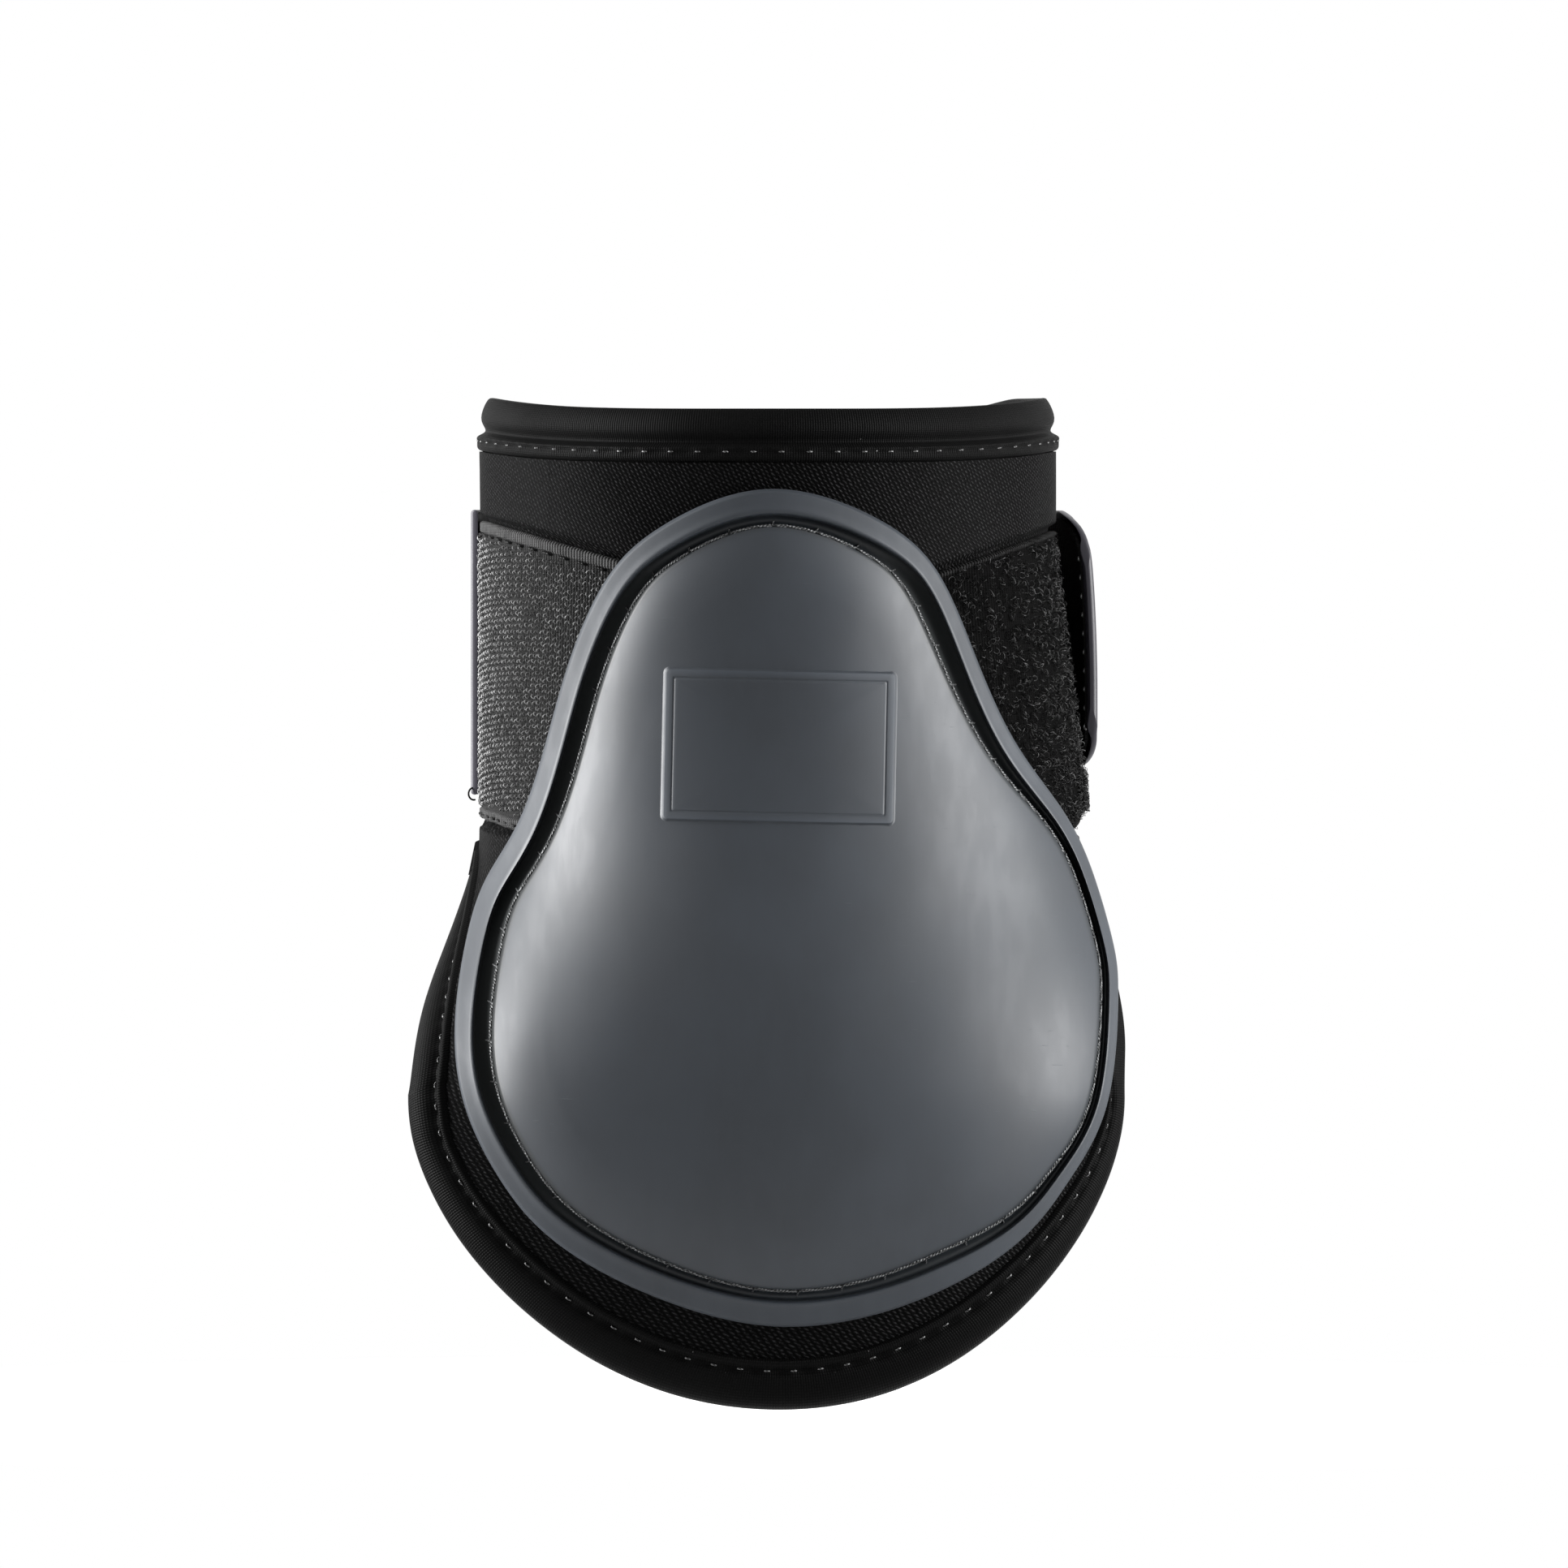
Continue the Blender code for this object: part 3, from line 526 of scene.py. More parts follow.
def pole_height():
    return SHELL_BOTTOM + SHELL_POLE_SHARE * (SHELL_TOP - SHELL_BOTTOM)


def shell_place(turn, inset, shrink, out):
    """Points of the shell or its foam, from their inset, their shrink to the pole and their height."""
    x, z = shell_outline(turn, inset)
    x = SHELL_CENTRE + (x - SHELL_CENTRE) * shrink
    return front_point(x, pole_height() + (z - pole_height()) * shrink, out)


def strap_point(angle, z, out):
    """Points of the strap's upright band, a distance outside the surface that it lies on."""
    angle, z, out = np.broadcast_arrays(angle, z, out)
    left, right = left_half_width(ELASTIC_BOTTOM), right_half_width(ELASTIC_BOTTOM)
    x = oval_x(angle, left + out, right + out)
    return np.stack((x, -(BACK_HALF_DEPTH + out) * np.cos(angle), z), axis=-1)


def grid_faces(rows, columns, round_rows=False, round_columns=False):
    """Corners of the faces of a grid whose points are counted row by row."""
    row, column = np.meshgrid(
        np.arange(rows if round_rows else rows - 1),
        np.arange(columns if round_columns else columns - 1),
        indexing="ij",
    )
    next_row, next_column = (row + 1) % rows, (column + 1) % columns
    corners = (row, column), (row, next_column), (next_row, next_column), (next_row, column)
    return np.stack([line * columns + place for line, place in corners], axis=-1).reshape(-1, 4)


def unit(vectors):
    return vectors / np.maximum(np.linalg.norm(vectors, axis=-1, keepdims=True), 1e-12)


def add_mesh(name, points, faces, look, chart=None, tone=None, smooth_angle=50):
    """Makes an object of points and lists of faces; chart and tone are carried for the material."""
    mesh = bpy.data.meshes.new(name)
    corners = [face for part in faces for face in np.asarray(part).tolist()]
    mesh.from_pydata(np.asarray(points).reshape(-1, 3).tolist(), [], corners)
    mesh.shade_smooth()
    mesh.set_sharp_from_angle(angle=math.radians(smooth_angle))
    if chart is not None:
        held = mesh.attributes.new("chart", "FLOAT_VECTOR", "POINT")
        held.data.foreach_set("vector", np.asarray(chart, np.float32).ravel())
    if tone is not None:
        held = mesh.attributes.new("tone", "FLOAT", "POINT")
        held.data.foreach_set("value", np.asarray(tone, np.float32).ravel())
    mesh.materials.append(look)
    made = bpy.data.objects.new(name, mesh)
    bpy.context.scene.collection.objects.link(made)
    return made


def flipped(*grids, step=-1):
    """Grids with their columns counted backwards, which turns their faces round, or kept at step 1."""
    return [grid[:, ::step] for grid in grids]


def add_sheet(name, outer, inner, look, chart, **more):
    """A closed sheet between an outer and an inner grid of points."""
    rows, columns = outer.shape[:2]
    count = rows * columns
    face = grid_faces(rows, columns)
    index = np.arange(count).reshape(rows, columns)
    ring = np.concatenate((index[0, :-1], index[:-1, -1], index[-1, :0:-1], index[:0:-1, 0]))
    after = np.roll(ring, -1)
    wall = np.stack((after, ring, ring + count, after + count), axis=-1)
    points = np.concatenate((outer.reshape(-1, 3), inner.reshape(-1, 3)))
    charts = np.concatenate((chart.reshape(-1, 3), chart.reshape(-1, 3)))
    return add_mesh(name, points, (face, face[:, ::-1] + count, wall), look, charts, **more)


def add_roll(name, points, look, chart, **more):
    """A roll with closed ends, of rows of points that each go round its section."""
    rows, columns = points.shape[:2]
    face = grid_faces(rows, columns, round_columns=True)
    ends = (np.arange(columns)[None, ::-1], np.arange(columns)[None] + (rows - 1) * columns)
    return add_mesh(name, points, (face, *ends), look, chart, **more)


def tube_frames(paths, ups):
    """Two directions square to each path at each of its points."""
    along = unit(np.gradient(paths, axis=1))
    aside = unit(np.cross(along, ups))
    return aside, np.cross(aside, along)


def tube_points(paths, ups, radii, sides):
    aside, upward = tube_frames(paths, ups)
    turn = np.arange(sides) / sides * 2 * math.pi
    radii = np.broadcast_to(radii, paths.shape[:2])[..., None, None]
    ring = np.cos(turn)[:, None] * aside[:, :, None] + np.sin(turn)[:, None] * upward[:, :, None]
    return paths[:, :, None] + radii * ring


def add_tubes(name, paths, ups, radii, sides, look, **more):
    """Many tubes in one mesh: paths holds rows of points, ups a direction off the surface at each."""
    points = tube_points(paths, ups, radii, sides)
    count, rings = paths.shape[:2]
    starts = np.arange(count)[:, None, None] * rings * sides
    faces = (grid_faces(rings, sides, round_columns=True)[None] + starts).reshape(-1, 4)
    first = np.arange(sides)[None, ::-1] + starts[:, 0]
    last = np.arange(sides)[None] + (rings - 1) * sides + starts[:, 0]
    run = np.linalg.norm(np.diff(paths, axis=1), axis=-1)
    run = np.concatenate((np.zeros((count, 1)), np.cumsum(run, axis=1)), axis=1)
    chart = np.zeros(points.shape)
    chart[..., 0] = run[:, :, None] / MM
    chart[..., 1] = np.arange(sides) / sides
    chart[..., 2] = np.arange(count)[:, None, None]
    return add_mesh(name, points, (faces, first, last), look, chart, **more)


def node(tree, kind, inputs=None, output=0, **settings):
    """Adds a node with its settings and inputs, and returns one of its outputs."""
    made = tree.nodes.new(kind)
    for key, value in settings.items():
        setattr(made, key, value)
    for key, value in (inputs or {}).items():
        if isinstance(value, bpy.types.NodeSocket):
            tree.links.new(value, made.inputs[key])
        else:
            made.inputs[key].default_value = value
    return made.outputs[output]


def maths(tree, operation, first, second=0.0):
    return node(tree, "ShaderNodeMath", {0: first, 1: second}, operation=operation)


def span(tree, value, low, high, to_low=0.0, to_high=1.0):
    """Maps a stretch of values smoothly onto another."""
    inputs = {"Value": value, "From Min": low, "From Max": high, "To Min": to_low, "To Max": to_high}
    return node(tree, "ShaderNodeMapRange", inputs, interpolation_type="SMOOTHSTEP")


def mix(tree, share, first, second):
    """Mixes two colours."""
    inputs = {0: share, 6: first, 7: second}
    return node(tree, "ShaderNodeMix", inputs, output=2, data_type="RGBA")


def noise(tree, place, scale, detail=2.0, roughness=0.5):
    inputs = {"Vector": place, "Scale": scale, "Detail": detail, "Roughness": roughness}
    return node(tree, "ShaderNodeTexNoise", inputs)


def grey(level, tint=NEUTRAL):
    """A linear colour from a screen level of 0 to 255, with a slight tint."""
    share = level / 255
    linear = share / 12.92 if share <= 0.04045 else ((share + 0.055) / 1.055) ** 2.4
    return (*(linear * part for part in tint), 1.0)


def new_look(name, roughness, sheen=0.0, shine=0.5):
    """A material with its shader, its tree and the parts of its chart."""
    look = bpy.data.materials.new(name)
    look.use_nodes = True
    tree = look.node_tree
    shader = tree.nodes["Principled BSDF"]
    shader.inputs["Roughness"].default_value = roughness
    shader.inputs["Sheen Weight"].default_value = sheen
    shader.inputs["Sheen Roughness"].default_value = 0.5
    shader.inputs["Specular IOR Level"].default_value = shine
    chart = node(tree, "ShaderNodeAttribute", output=1, attribute_name="chart")
    parts = tree.nodes.new("ShaderNodeSeparateXYZ")
    tree.links.new(chart, parts.inputs[0])
    return look, tree, shader, chart, parts.outputs


def tone_of(tree):
    return node(tree, "ShaderNodeAttribute", output=2, attribute_name="tone")


def wave(tree, value, pitch):
    """Goes from 0 to 1 and back once a pitch."""
    turn = maths(tree, "MULTIPLY", value, 2 * math.pi / pitch)
    return maths(tree, "MULTIPLY_ADD", node(tree, "ShaderNodeMath", {0: turn}, operation="SINE"), 0.5)


def finish_look(tree, shader, color, height, depth, roughness=None):
    """Joins colour, bump and roughness to the shader; depth is the bump's height in metres."""
    tree.links.new(color, shader.inputs["Base Color"])
    bump = node(tree, "ShaderNodeBump", {"Strength": 1.0, "Distance": depth, "Height": height})
    tree.links.new(bump, shader.inputs["Normal"])
    if roughness is not None:
        tree.links.new(roughness, shader.inputs["Roughness"])


def moulded_look(name, level, tint, gloss, shine):
    """Satin moulded plastic: clouded, finely scratched, paler on rubbed edges, with smoother streaks
    painted lighter as highlight and a painted shade where the tone is below 0.
    """
    look, tree, shader, chart, _ = new_look(name, gloss, shine=shine)
    scratched = node(tree, "ShaderNodeMapping", {0: chart, 2: (0.0, 0.0, 0.7), 3: (0.10, 1.7, 1.0)})
    streaked = node(tree, "ShaderNodeMapping", {0: chart, 2: (0.0, 0.0, 0.12), 3: (0.40, 0.12, 0.3)})
    grain = noise(tree, chart, 1.3, 4.0, 0.6)
    cloud = noise(tree, chart, 0.06, 3.0)
    streak_highlight = span(tree, noise(tree, streaked, 1.0, 3.0, 0.55), 0.38, 0.68)
    scratch = span(tree, noise(tree, scratched, 1.8, 5.0, 0.7), 0.64, 0.76)
    color = mix(tree, span(tree, cloud, 0.3, 0.7), grey(level * 0.93, tint), grey(level * 1.06, tint))
    # Painted highlight: the streaks are painted lighter; they also make the surface slightly smoother
    color = mix(tree, maths(tree, "MULTIPLY", streak_highlight, 0.10), color, grey(level * 1.22, tint))
    color = mix(tree, maths(tree, "MULTIPLY", scratch, 0.25), color, grey(level * 1.45, tint))
    tone = tone_of(tree)
    color = mix(tree, span(tree, tone, 0.0, 1.0, 0.0, 0.55), color, grey(level * 1.5, tint))
    # Painted shade: a tone below 0 darkens the colour towards the groove's painted shade
    color = mix(tree, span(tree, tone, -1.0, 0.0, 1.0, 0.0), color, GROOVE_PAINTED_SHADE)
    rough = span(tree, streak_highlight, 0.0, 1.0, gloss * 1.03, gloss * 0.97)
    rubbed = maths(tree, "ADD", rough, span(tree, tone, 0.05, 0.2, 0.0, 0.14))
    rough = maths(tree, "MAXIMUM", rubbed, span(tree, tone, -1.0, -0.2, 0.95, 0.0))
    height = maths(tree, "MULTIPLY_ADD", grain, 0.5)
    tree.links.new(scratch, height.node.inputs[2])
    finish_look(tree, shader, color, height, MOULD_RELIEF, rough)
    return look


def slanted(tree, u, v, slope):
    """Distance across lines that lean: u plus the slope times v."""
    made = maths(tree, "MULTIPLY_ADD", v, slope)
    tree.links.new(u, made.node.inputs[2])
    return made


def knit_look():
    """Twill face of the neoprene: small pale dots on black, in steep diagonal lines."""
    look, tree, shader, chart, (u, v, _) = new_look("neoprene_twill", 0.52, sheen=0.004, shine=0.012)
    wander = maths(tree, "MULTIPLY", noise(tree, chart, 0.4, 4.0), 0.9)
    line = wave(tree, slanted(tree, wander, slanted(tree, u, v, 0.62), 1.0), TWILL_LINE_PITCH)
    dot = wave(tree, slanted(tree, v, u, 0.35), TWILL_DOT_PITCH)
    height = maths(tree, "MULTIPLY", maths(tree, "POWER", line, 1.6), maths(tree, "POWER", dot, 0.9))
    fuzz = noise(tree, chart, 2.4, 2.0)
    shine = maths(tree, "MULTIPLY", height, span(tree, fuzz, 0.3, 0.7, 0.1, 1.6))
    patch = span(tree, noise(tree, chart, 0.03, 2.0), 0.3, 0.7)
    low = mix(tree, patch, grey(2), grey(4))
    color = mix(tree, shine, low, grey(37, (1.0, 1.0, 1.02)))
    finish_look(tree, shader, color, height, TWILL_RELIEF)
    return look


def woven(tree, warp, power, weft, least):
    """Height of a weave whose warp sinks to its least share where the weft dips."""
    crown = maths(tree, "POWER", warp, power)
    return maths(tree, "MULTIPLY", crown, span(tree, weft, 0.0, 1.0, least, 1.0))


def jersey_look(name, level):
    """Smooth fine jersey: close wales, a soft bloom and a few specks of lint."""
    look, tree, shader, chart, (u, v, _) = new_look(name, 0.46, sheen=0.004, shine=0.02)
    wale = wave(tree, u, WALE_PITCH)
    course = wave(tree, v, COURSE_PITCH)
    height = woven(tree, wale, 0.7, course, 0.55)
    fold = noise(tree, chart, 0.12, 3.0)
    lint = span(tree, noise(tree, chart, 0.9, 1.0), 0.80, 0.83)
    color = mix(tree, height, grey(level * 0.55), grey(level * 1.5))
    color = mix(tree, span(tree, fold, 0.3, 0.7, 0.0, 0.25), color, grey(level * 1.9))
    color = mix(tree, lint, color, grey(120))
    finish_look(tree, shader, color, height, JERSEY_RELIEF)
    return look


def tape_look(name, level, shine):
    """Woven ground of a tape, ribbed along its length, with a paler selvage where the tone is 1."""
    look, tree, shader, chart, (u, v, _) = new_look(name, 0.66, shine=shine)
    ribs = wave(tree, u, TAPE_RIB_PITCH)
    weft = wave(tree, v, TAPE_WEFT_PITCH)
    height = woven(tree, ribs, 1.0, weft, 0.5)
    wear = span(tree, noise(tree, chart, 0.5, 4.0, 0.65), 0.3, 0.7, 0.5, 1.2)
    ground = mix(tree, height, grey(level * 0.45), grey(level * 1.25))
    edge = mix(tree, maths(tree, "MULTIPLY", ribs, wear), grey(level * 0.5), grey(level * 1.4 + 34))
    color = mix(tree, tone_of(tree), ground, edge)
    finish_look(tree, shader, color, height, TAPE_RELIEF)
    return look


def fibre_look(name, low, high, rarity, gloss, shine):
    """Bare plastic fibre: each lighter or darker, the light ones rare, shaded along its length."""
    look, tree, shader, chart, (u, _, number) = new_look(name, gloss, shine=shine)
    pick = node(tree, "ShaderNodeTexWhiteNoise", {"W": number}, noise_dimensions="1D")
    along = noise(tree, chart, 2.0, 2.0)
    color = mix(tree, maths(tree, "POWER", pick, rarity), grey(low), grey(high))
    color = mix(tree, span(tree, along, 0.3, 0.7, 0.0, 0.5), color, grey(low))
    finish_look(tree, shader, color, wave(tree, u, FIBRE_PITCH), FIBRE_RELIEF)
    return look


def thread_look(name, level, tint, shine):
    """Twisted sewing thread, its strands lit along their turns."""
    look, tree, shader, _, (u, v, number) = new_look(name, 0.42, sheen=0.02, shine=shine)
    strand = maths(tree, "MULTIPLY_ADD", u, 1.6)
    tree.links.new(maths(tree, "MULTIPLY", v, 2.0), strand.node.inputs[2])
    twist = wave(tree, strand, 1.0)
    pick = node(tree, "ShaderNodeTexWhiteNoise", {"W": number}, noise_dimensions="1D")
    color = mix(tree, twist, grey(level * 0.3, tint), grey(level * 1.3, tint))
    color = mix(tree, maths(tree, "MULTIPLY", pick, 0.4), color, grey(level * 0.5, tint))
    finish_look(tree, shader, color, twist, THREAD_RELIEF)
    return look


def webbing_look():
    """Elastic webbing: fine ribs across it and covered rubber threads along it."""
    look, tree, shader, chart, (u, v, _) = new_look("elastic_weave", 0.60, sheen=0.02, shine=0.12)
    rib = wave(tree, u, WEBBING_RIB_PITCH)
    warp = wave(tree, v, WEBBING_WARP_PITCH)
    height = woven(tree, rib, 0.6, warp, 0.45)
    patch = noise(tree, chart, 0.4, 4.0, 0.6)
    color = mix(tree, maths(tree, "MULTIPLY", height, patch), grey(10), grey(66))
    finish_look(tree, shader, color, height, WEBBING_RELIEF)
    return look


def foam_look():
    """Open-cell foam of the hidden pad."""
    look, tree, shader, chart, _ = new_look("cell_foam", 0.95)
    cells = node(tree, "ShaderNodeTexVoronoi", {"Vector": chart, "Scale": 1.6})
    color = mix(tree, cells, grey(20), grey(60))
    finish_look(tree, shader, color, cells, FOAM_RELIEF)
    return look


def wavy(angle, z, size, seed):
    """Slight unevenness of hand-sewn cloth, in metres."""
    picks = np.random.default_rng(seed)
    total = np.zeros(np.broadcast(angle, z).shape)
    for _ in range(7):
        turn = picks.uniform(0, 2 * math.pi)
        pitch = picks.uniform(*WAVE_PITCHES)
        run = (angle * CHART_RADIUS * math.cos(turn) + z * math.sin(turn)) / pitch
        total = total + np.sin(2 * math.pi * run + picks.uniform(0, 2 * math.pi))
    return total / 7 * size


def bend_at_fold(obj):
    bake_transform(obj)


def word_of(side):
    return "left" if side < 0 else "right"


def edge_lengths(side, across):
    """Stations along a side's lower edge and the length up to each."""
    station = np.linspace(0, 2, 3001)
    angle, z = edge_chart(side, station, across)
    steps = np.linalg.norm(np.diff(body_point(angle, z, 0.0), axis=0), axis=-1)
    return station, np.concatenate(((0.0,), np.cumsum(steps)))


def panel_grid(side, columns, rows, border):
    """Angles and heights of a side's half of the body, from the front's middle to the open back."""
    run, bend, rise = wing_run(side)
    last = 1 + (run + bend) / (run + bend + rise)
    station = np.linspace(0, last, columns)
    angle, low = edge_chart(side, station, border)
    high = top_edge(angle) - COLLAR_HEIGHT + GAP
    share = np.linspace(0, 1, rows)[:, None]
    return np.broadcast_to(angle, (rows, columns)), low + (high - low) * share


def chart_of(u, v, w=0.0):
    """A piece's chart, from lengths along and across its surface and out of it."""
    return np.stack(np.broadcast_arrays(u, v, w), axis=-1) / MM


def body_chart(angle, z):
    """Chart of the body, which runs on unbroken round the leg."""
    return chart_of(angle * CHART_RADIUS, z)


def make_body_half(side, looks):
    """One half of the neoprene with its knit face, and of its jersey lining."""
    word = word_of(side)
    angle, z = panel_grid(side, 260, 190, BINDING_WIDTH - GAP)
    outer = body_point(angle, z, -press(angle, z) + wavy(angle, z, KNIT_WAVE, 3))
    inner = body_point(angle, z, np.full_like(z, -NEOPRENE))
    cloth = add_sheet(f"neoprene_{word}", outer, inner, looks["knit"], body_chart(angle, z))
    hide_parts(f"{word}_wing_neoprene", "front_neoprene")
    angle, z = panel_grid(side, 130, 90, BINDING_WIDTH - GAP)
    face = -NEOPRENE - GAP
    rise = wavy(angle, z, LINING_WAVE, 5)
    outer = body_point(angle, z, np.full_like(z, face))
    inner = body_point(angle, z, face - LINING + rise)
    lining = add_sheet(f"lining_{word}", outer, inner, looks["lining"], body_chart(angle, z))
    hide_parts(f"{word}_wing_lining", "front_lining")
    for obj in (cloth, lining):
        bend_at_fold(obj)


def roll_section(shares, outs, size, corners):
    """Smooth section of a roll, as distances in from its edge and distances out."""
    knots = [(share * size, out) for share, out in zip(shares, outs)]
    place = closed_spline(knots)(np.linspace(0, 1, corners, endpoint=False))
    return place[:, 0], place[:, 1]


def collar_section(corners):
    inner = -NEOPRENE - GAP - LINING
    shares = (0.0, 0.05, 0.18, 0.42, 0.60, 0.70, 0.84, 0.97, 0.97, 0.72, 0.35, 0.08)
    outs = (
        inner * 0.42, inner * 0.26, -COLLAR_LEAN * 0.6, -COLLAR_LEAN / 4, -COLLAR_LEAN * 0.8,
        COLLAR_RIDGE, COLLAR_RIDGE, -COLLAR_BULGE,
        inner, inner - COLLAR_BULGE, inner - COLLAR_BULGE, inner * ROLL_TURN_SHARE,
    )
    return roll_section(shares, outs, COLLAR_HEIGHT, corners)


def binding_section(corners):
    inner = -NEOPRENE - GAP - LINING
    shares = (0.0, 0.10, 0.35, 0.60, 0.75, 0.87, 1.0, 1.0, 0.6, 0.12)
    outs = (
        inner / 2, inner / 8, BINDING_BULGE, BINDING_BULGE, BINDING_DIP, BINDING_RIDGE, -BINDING_BULGE,
        inner, inner - BINDING_BULGE, inner * ROLL_TURN_SHARE,
    )
    return roll_section(shares, outs, BINDING_WIDTH, corners)


def pucker(run, pitch, nearness):
    """How far a line of stitches pulls the cloth in, most between its holes' middles."""
    return PUCKER * nearness * (0.30 + 0.70 * np.abs(np.cos(math.pi * run / pitch)) ** 1.2)


def near(value, centre, reach):
    return np.exp(-(((value - centre) / reach) ** 2))


def collar_wave(angle, down):
    return wavy(angle, down * 3, COLLAR_WAVE, 8)


def binding_wave(angle, z):
    return wavy(angle, z, BINDING_WAVE, 9)


def collar_place(angle, down, out):
    """Points of the collar a distance below the upper edge, with the pull of its stitches."""
    run = np.abs(angle) * LEG_HALF_WIDTH
    seam = near(down, COLLAR_SEAM, COLLAR_SEAM_REACH) * (out > -NEOPRENE / 2)
    out = out - pucker(run, COLLAR_STITCH, seam) + collar_wave(angle, down) * (out > -NEOPRENE / 2)
    z = top_edge(angle) - down
    return body_point(angle, z, pressed_out(angle, z, out))


def make_collar_half(side, looks):
    """The collar roll from the front's middle to the wing's rear edge."""
    down, out = collar_section(48)
    angle = np.linspace(0, wing_end(side) * side, 420)
    end = 1 - near(np.linspace(1, 0, len(angle)), 0.0, COLLAR_END_SHARE)[:, None] * 0.5
    down = down.mean() + (down[None] - down.mean()) * end
    out = out.mean() + (out[None] - out.mean()) * end
    points = collar_place(angle[:, None], down, out)
    chart = chart_of(angle[:, None] * LEG_HALF_WIDTH, down)
    word = word_of(side)
    points, chart = flipped(points, chart, step=side)
    collar = add_roll(f"collar_{word}", points, looks["jersey"], chart)
    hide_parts(f"{word}_wing_collar", "front_collar")
    bend_at_fold(collar)


def binding_place(side, run_table, run, across, out):
    """Points of a side's binding at lengths along its edge, with the pull of its stitches."""
    stations, lengths = run_table
    station = np.interp(run, lengths, stations)
    angle, z = edge_chart(side, station, across)
    outside = out > -NEOPRENE / 2
    seam = near(across, BINDING_SEAM, BINDING_SEAM_REACH) * outside
    out = out - pucker(run, BINDING_STITCH, seam) + binding_wave(angle, z) * outside
    out = out - np.maximum(out, 0.0) * covered(angle, z)
    return body_point(angle, z, pressed_out(angle, z, out))


def make_binding_half(side, looks):
    """The rolled binding along the flap, the wing's foot and the wing's rear edge."""
    table = edge_lengths(side, BINDING_WIDTH / 2)
    across, out = binding_section(40)
    run = np.linspace(0, table[1][-1], 900)[:, None]
    across, out = np.broadcast_arrays(across[None], out[None])
    points = binding_place(side, table, run, across, out)
    chart = chart_of(run, across)
    word = word_of(side)
    points, chart = flipped(points, chart, step=-side)
    binding = add_roll(f"binding_{word}", points, looks["jersey"], chart)
    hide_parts(f"{word}_wing_binding", "flap_binding")
    bend_at_fold(binding)


def outward(paths, place, run, height):
    """Directions off the cloth at the points of the paths."""
    return unit(place(run, height + MM) - paths)


def add_stitches(name, place, count, pitch, share, look, radius=THREAD):
    """A line of stitches as tubes: each rises from its hole, lies on the cloth and dives again.

    place(run, height) gives points at lengths along the seam, a height above the cloth.
    """
    along = np.linspace(-0.5, 0.5, 13)
    run = (np.arange(count)[:, None] + 0.5 + along * share) * pitch
    lift, sink = radius * 0.5, radius * 2.2
    height = np.broadcast_to(lift - (lift + sink) * np.abs(2 * along) ** 6, run.shape)
    flat = np.zeros_like(run)
    ups = outward(place(run, flat), place, run, flat)
    return add_tubes(name, place(run, height), ups, radius, 8, look)


def make_collar_stitches(side, looks):
    """The row of stitches along a side's collar."""
    count = int(wing_end(side) * LEG_HALF_WIDTH / COLLAR_STITCH - 0.4)

    def place(run, height):
        angle = run / LEG_HALF_WIDTH * side
        z = top_edge(angle) - COLLAR_SEAM
        out = COLLAR_RIDGE - pucker(run, COLLAR_STITCH, 1.0) + height + collar_wave(angle, COLLAR_SEAM)
        return body_point(angle, z, pressed_out(angle, z, out))

    name = f"collar_thread_{word_of(side)}"
    made = add_stitches(name, place, count, COLLAR_STITCH, 0.24, looks["pale_thread"])
    bend_at_fold(made)


def make_binding_stitches(side, looks):
    """The row of stitches along a side's binding."""
    stations, lengths = edge_lengths(side, BINDING_SEAM)
    count = int(lengths[-1] / BINDING_STITCH - 0.5)

    def place(run, height):
        angle, z = edge_chart(side, np.interp(run, lengths, stations), BINDING_SEAM)
        out = BINDING_DIP - pucker(run, BINDING_STITCH, 1.0) + binding_wave(angle, z)
        out = out * (1 - covered(angle, z)) + height
        return body_point(angle, z, pressed_out(angle, z, out))

    name = f"binding_thread_{word_of(side)}"
    made = add_stitches(name, place, count, BINDING_STITCH, 0.22, looks["pale_thread"])
    bend_at_fold(made)


def dimple(x, z):
    """Slight unevenness of the moulding, seen in its highlights."""
    return wavy(x / CHART_RADIUS, z, MOULD_WAVE, 21)


def groove_turns():
    """Turns round the shell's outline with the groove's length up to each, and its stitches."""
    turn = np.linspace(0, 1, 4001)
    points = shell_place(turn, THREAD_INSET, 1.0, THREAD_HEIGHT)
    lengths = np.concatenate(((0.0,), np.cumsum(np.linalg.norm(np.diff(points, axis=0), axis=-1))))
    count = round(lengths[-1] / GROOVE_STITCH)
    return turn, lengths, count, lengths[-1] / count


def rim_rings(corners):
    """Rings of the rim: a steep outer wall, a flat face and a rounded ridge above the groove."""
    share = (1 - np.cos(np.linspace(0, math.pi, corners))) / 2
    wall = np.sqrt(1 - (1 - np.minimum(share / RIM_WALL_SHARE, 1)) ** 2)
    step = RIM_STEP_SHARE * (1 - near(share, 0.80, 0.17))
    ridge = 1 - RIM_RIDGE_SHARE * np.maximum(1 - share / 0.80, 0) - step
    fall = np.sqrt(1 - np.clip((share - 0.86) / 0.14, 0, 1) ** 2)
    out = SHELL_SEAT + GROOVE_FLOOR * share + (RIM_HEIGHT - GROOVE_FLOOR * share) * wall * ridge * fall
    # Tones: the face slightly paler and rougher than the ridge, and painted groove shade (below 0) down
    # the inner fall
    tones = 0.2 - 0.2 * near(share, 0.84, 0.10) - 1.2 * ease((share - 0.93) / 0.05)
    return [(RIM_WIDTH * part, 1.0, height, tone) for part, height, tone in zip(share, out, tones)]


def dome_top(share):
    """Height of the dome from its pole to its shoulder."""
    return DOME_RISE + (DOME_CROWN - DOME_RISE) * (1 - share**3)


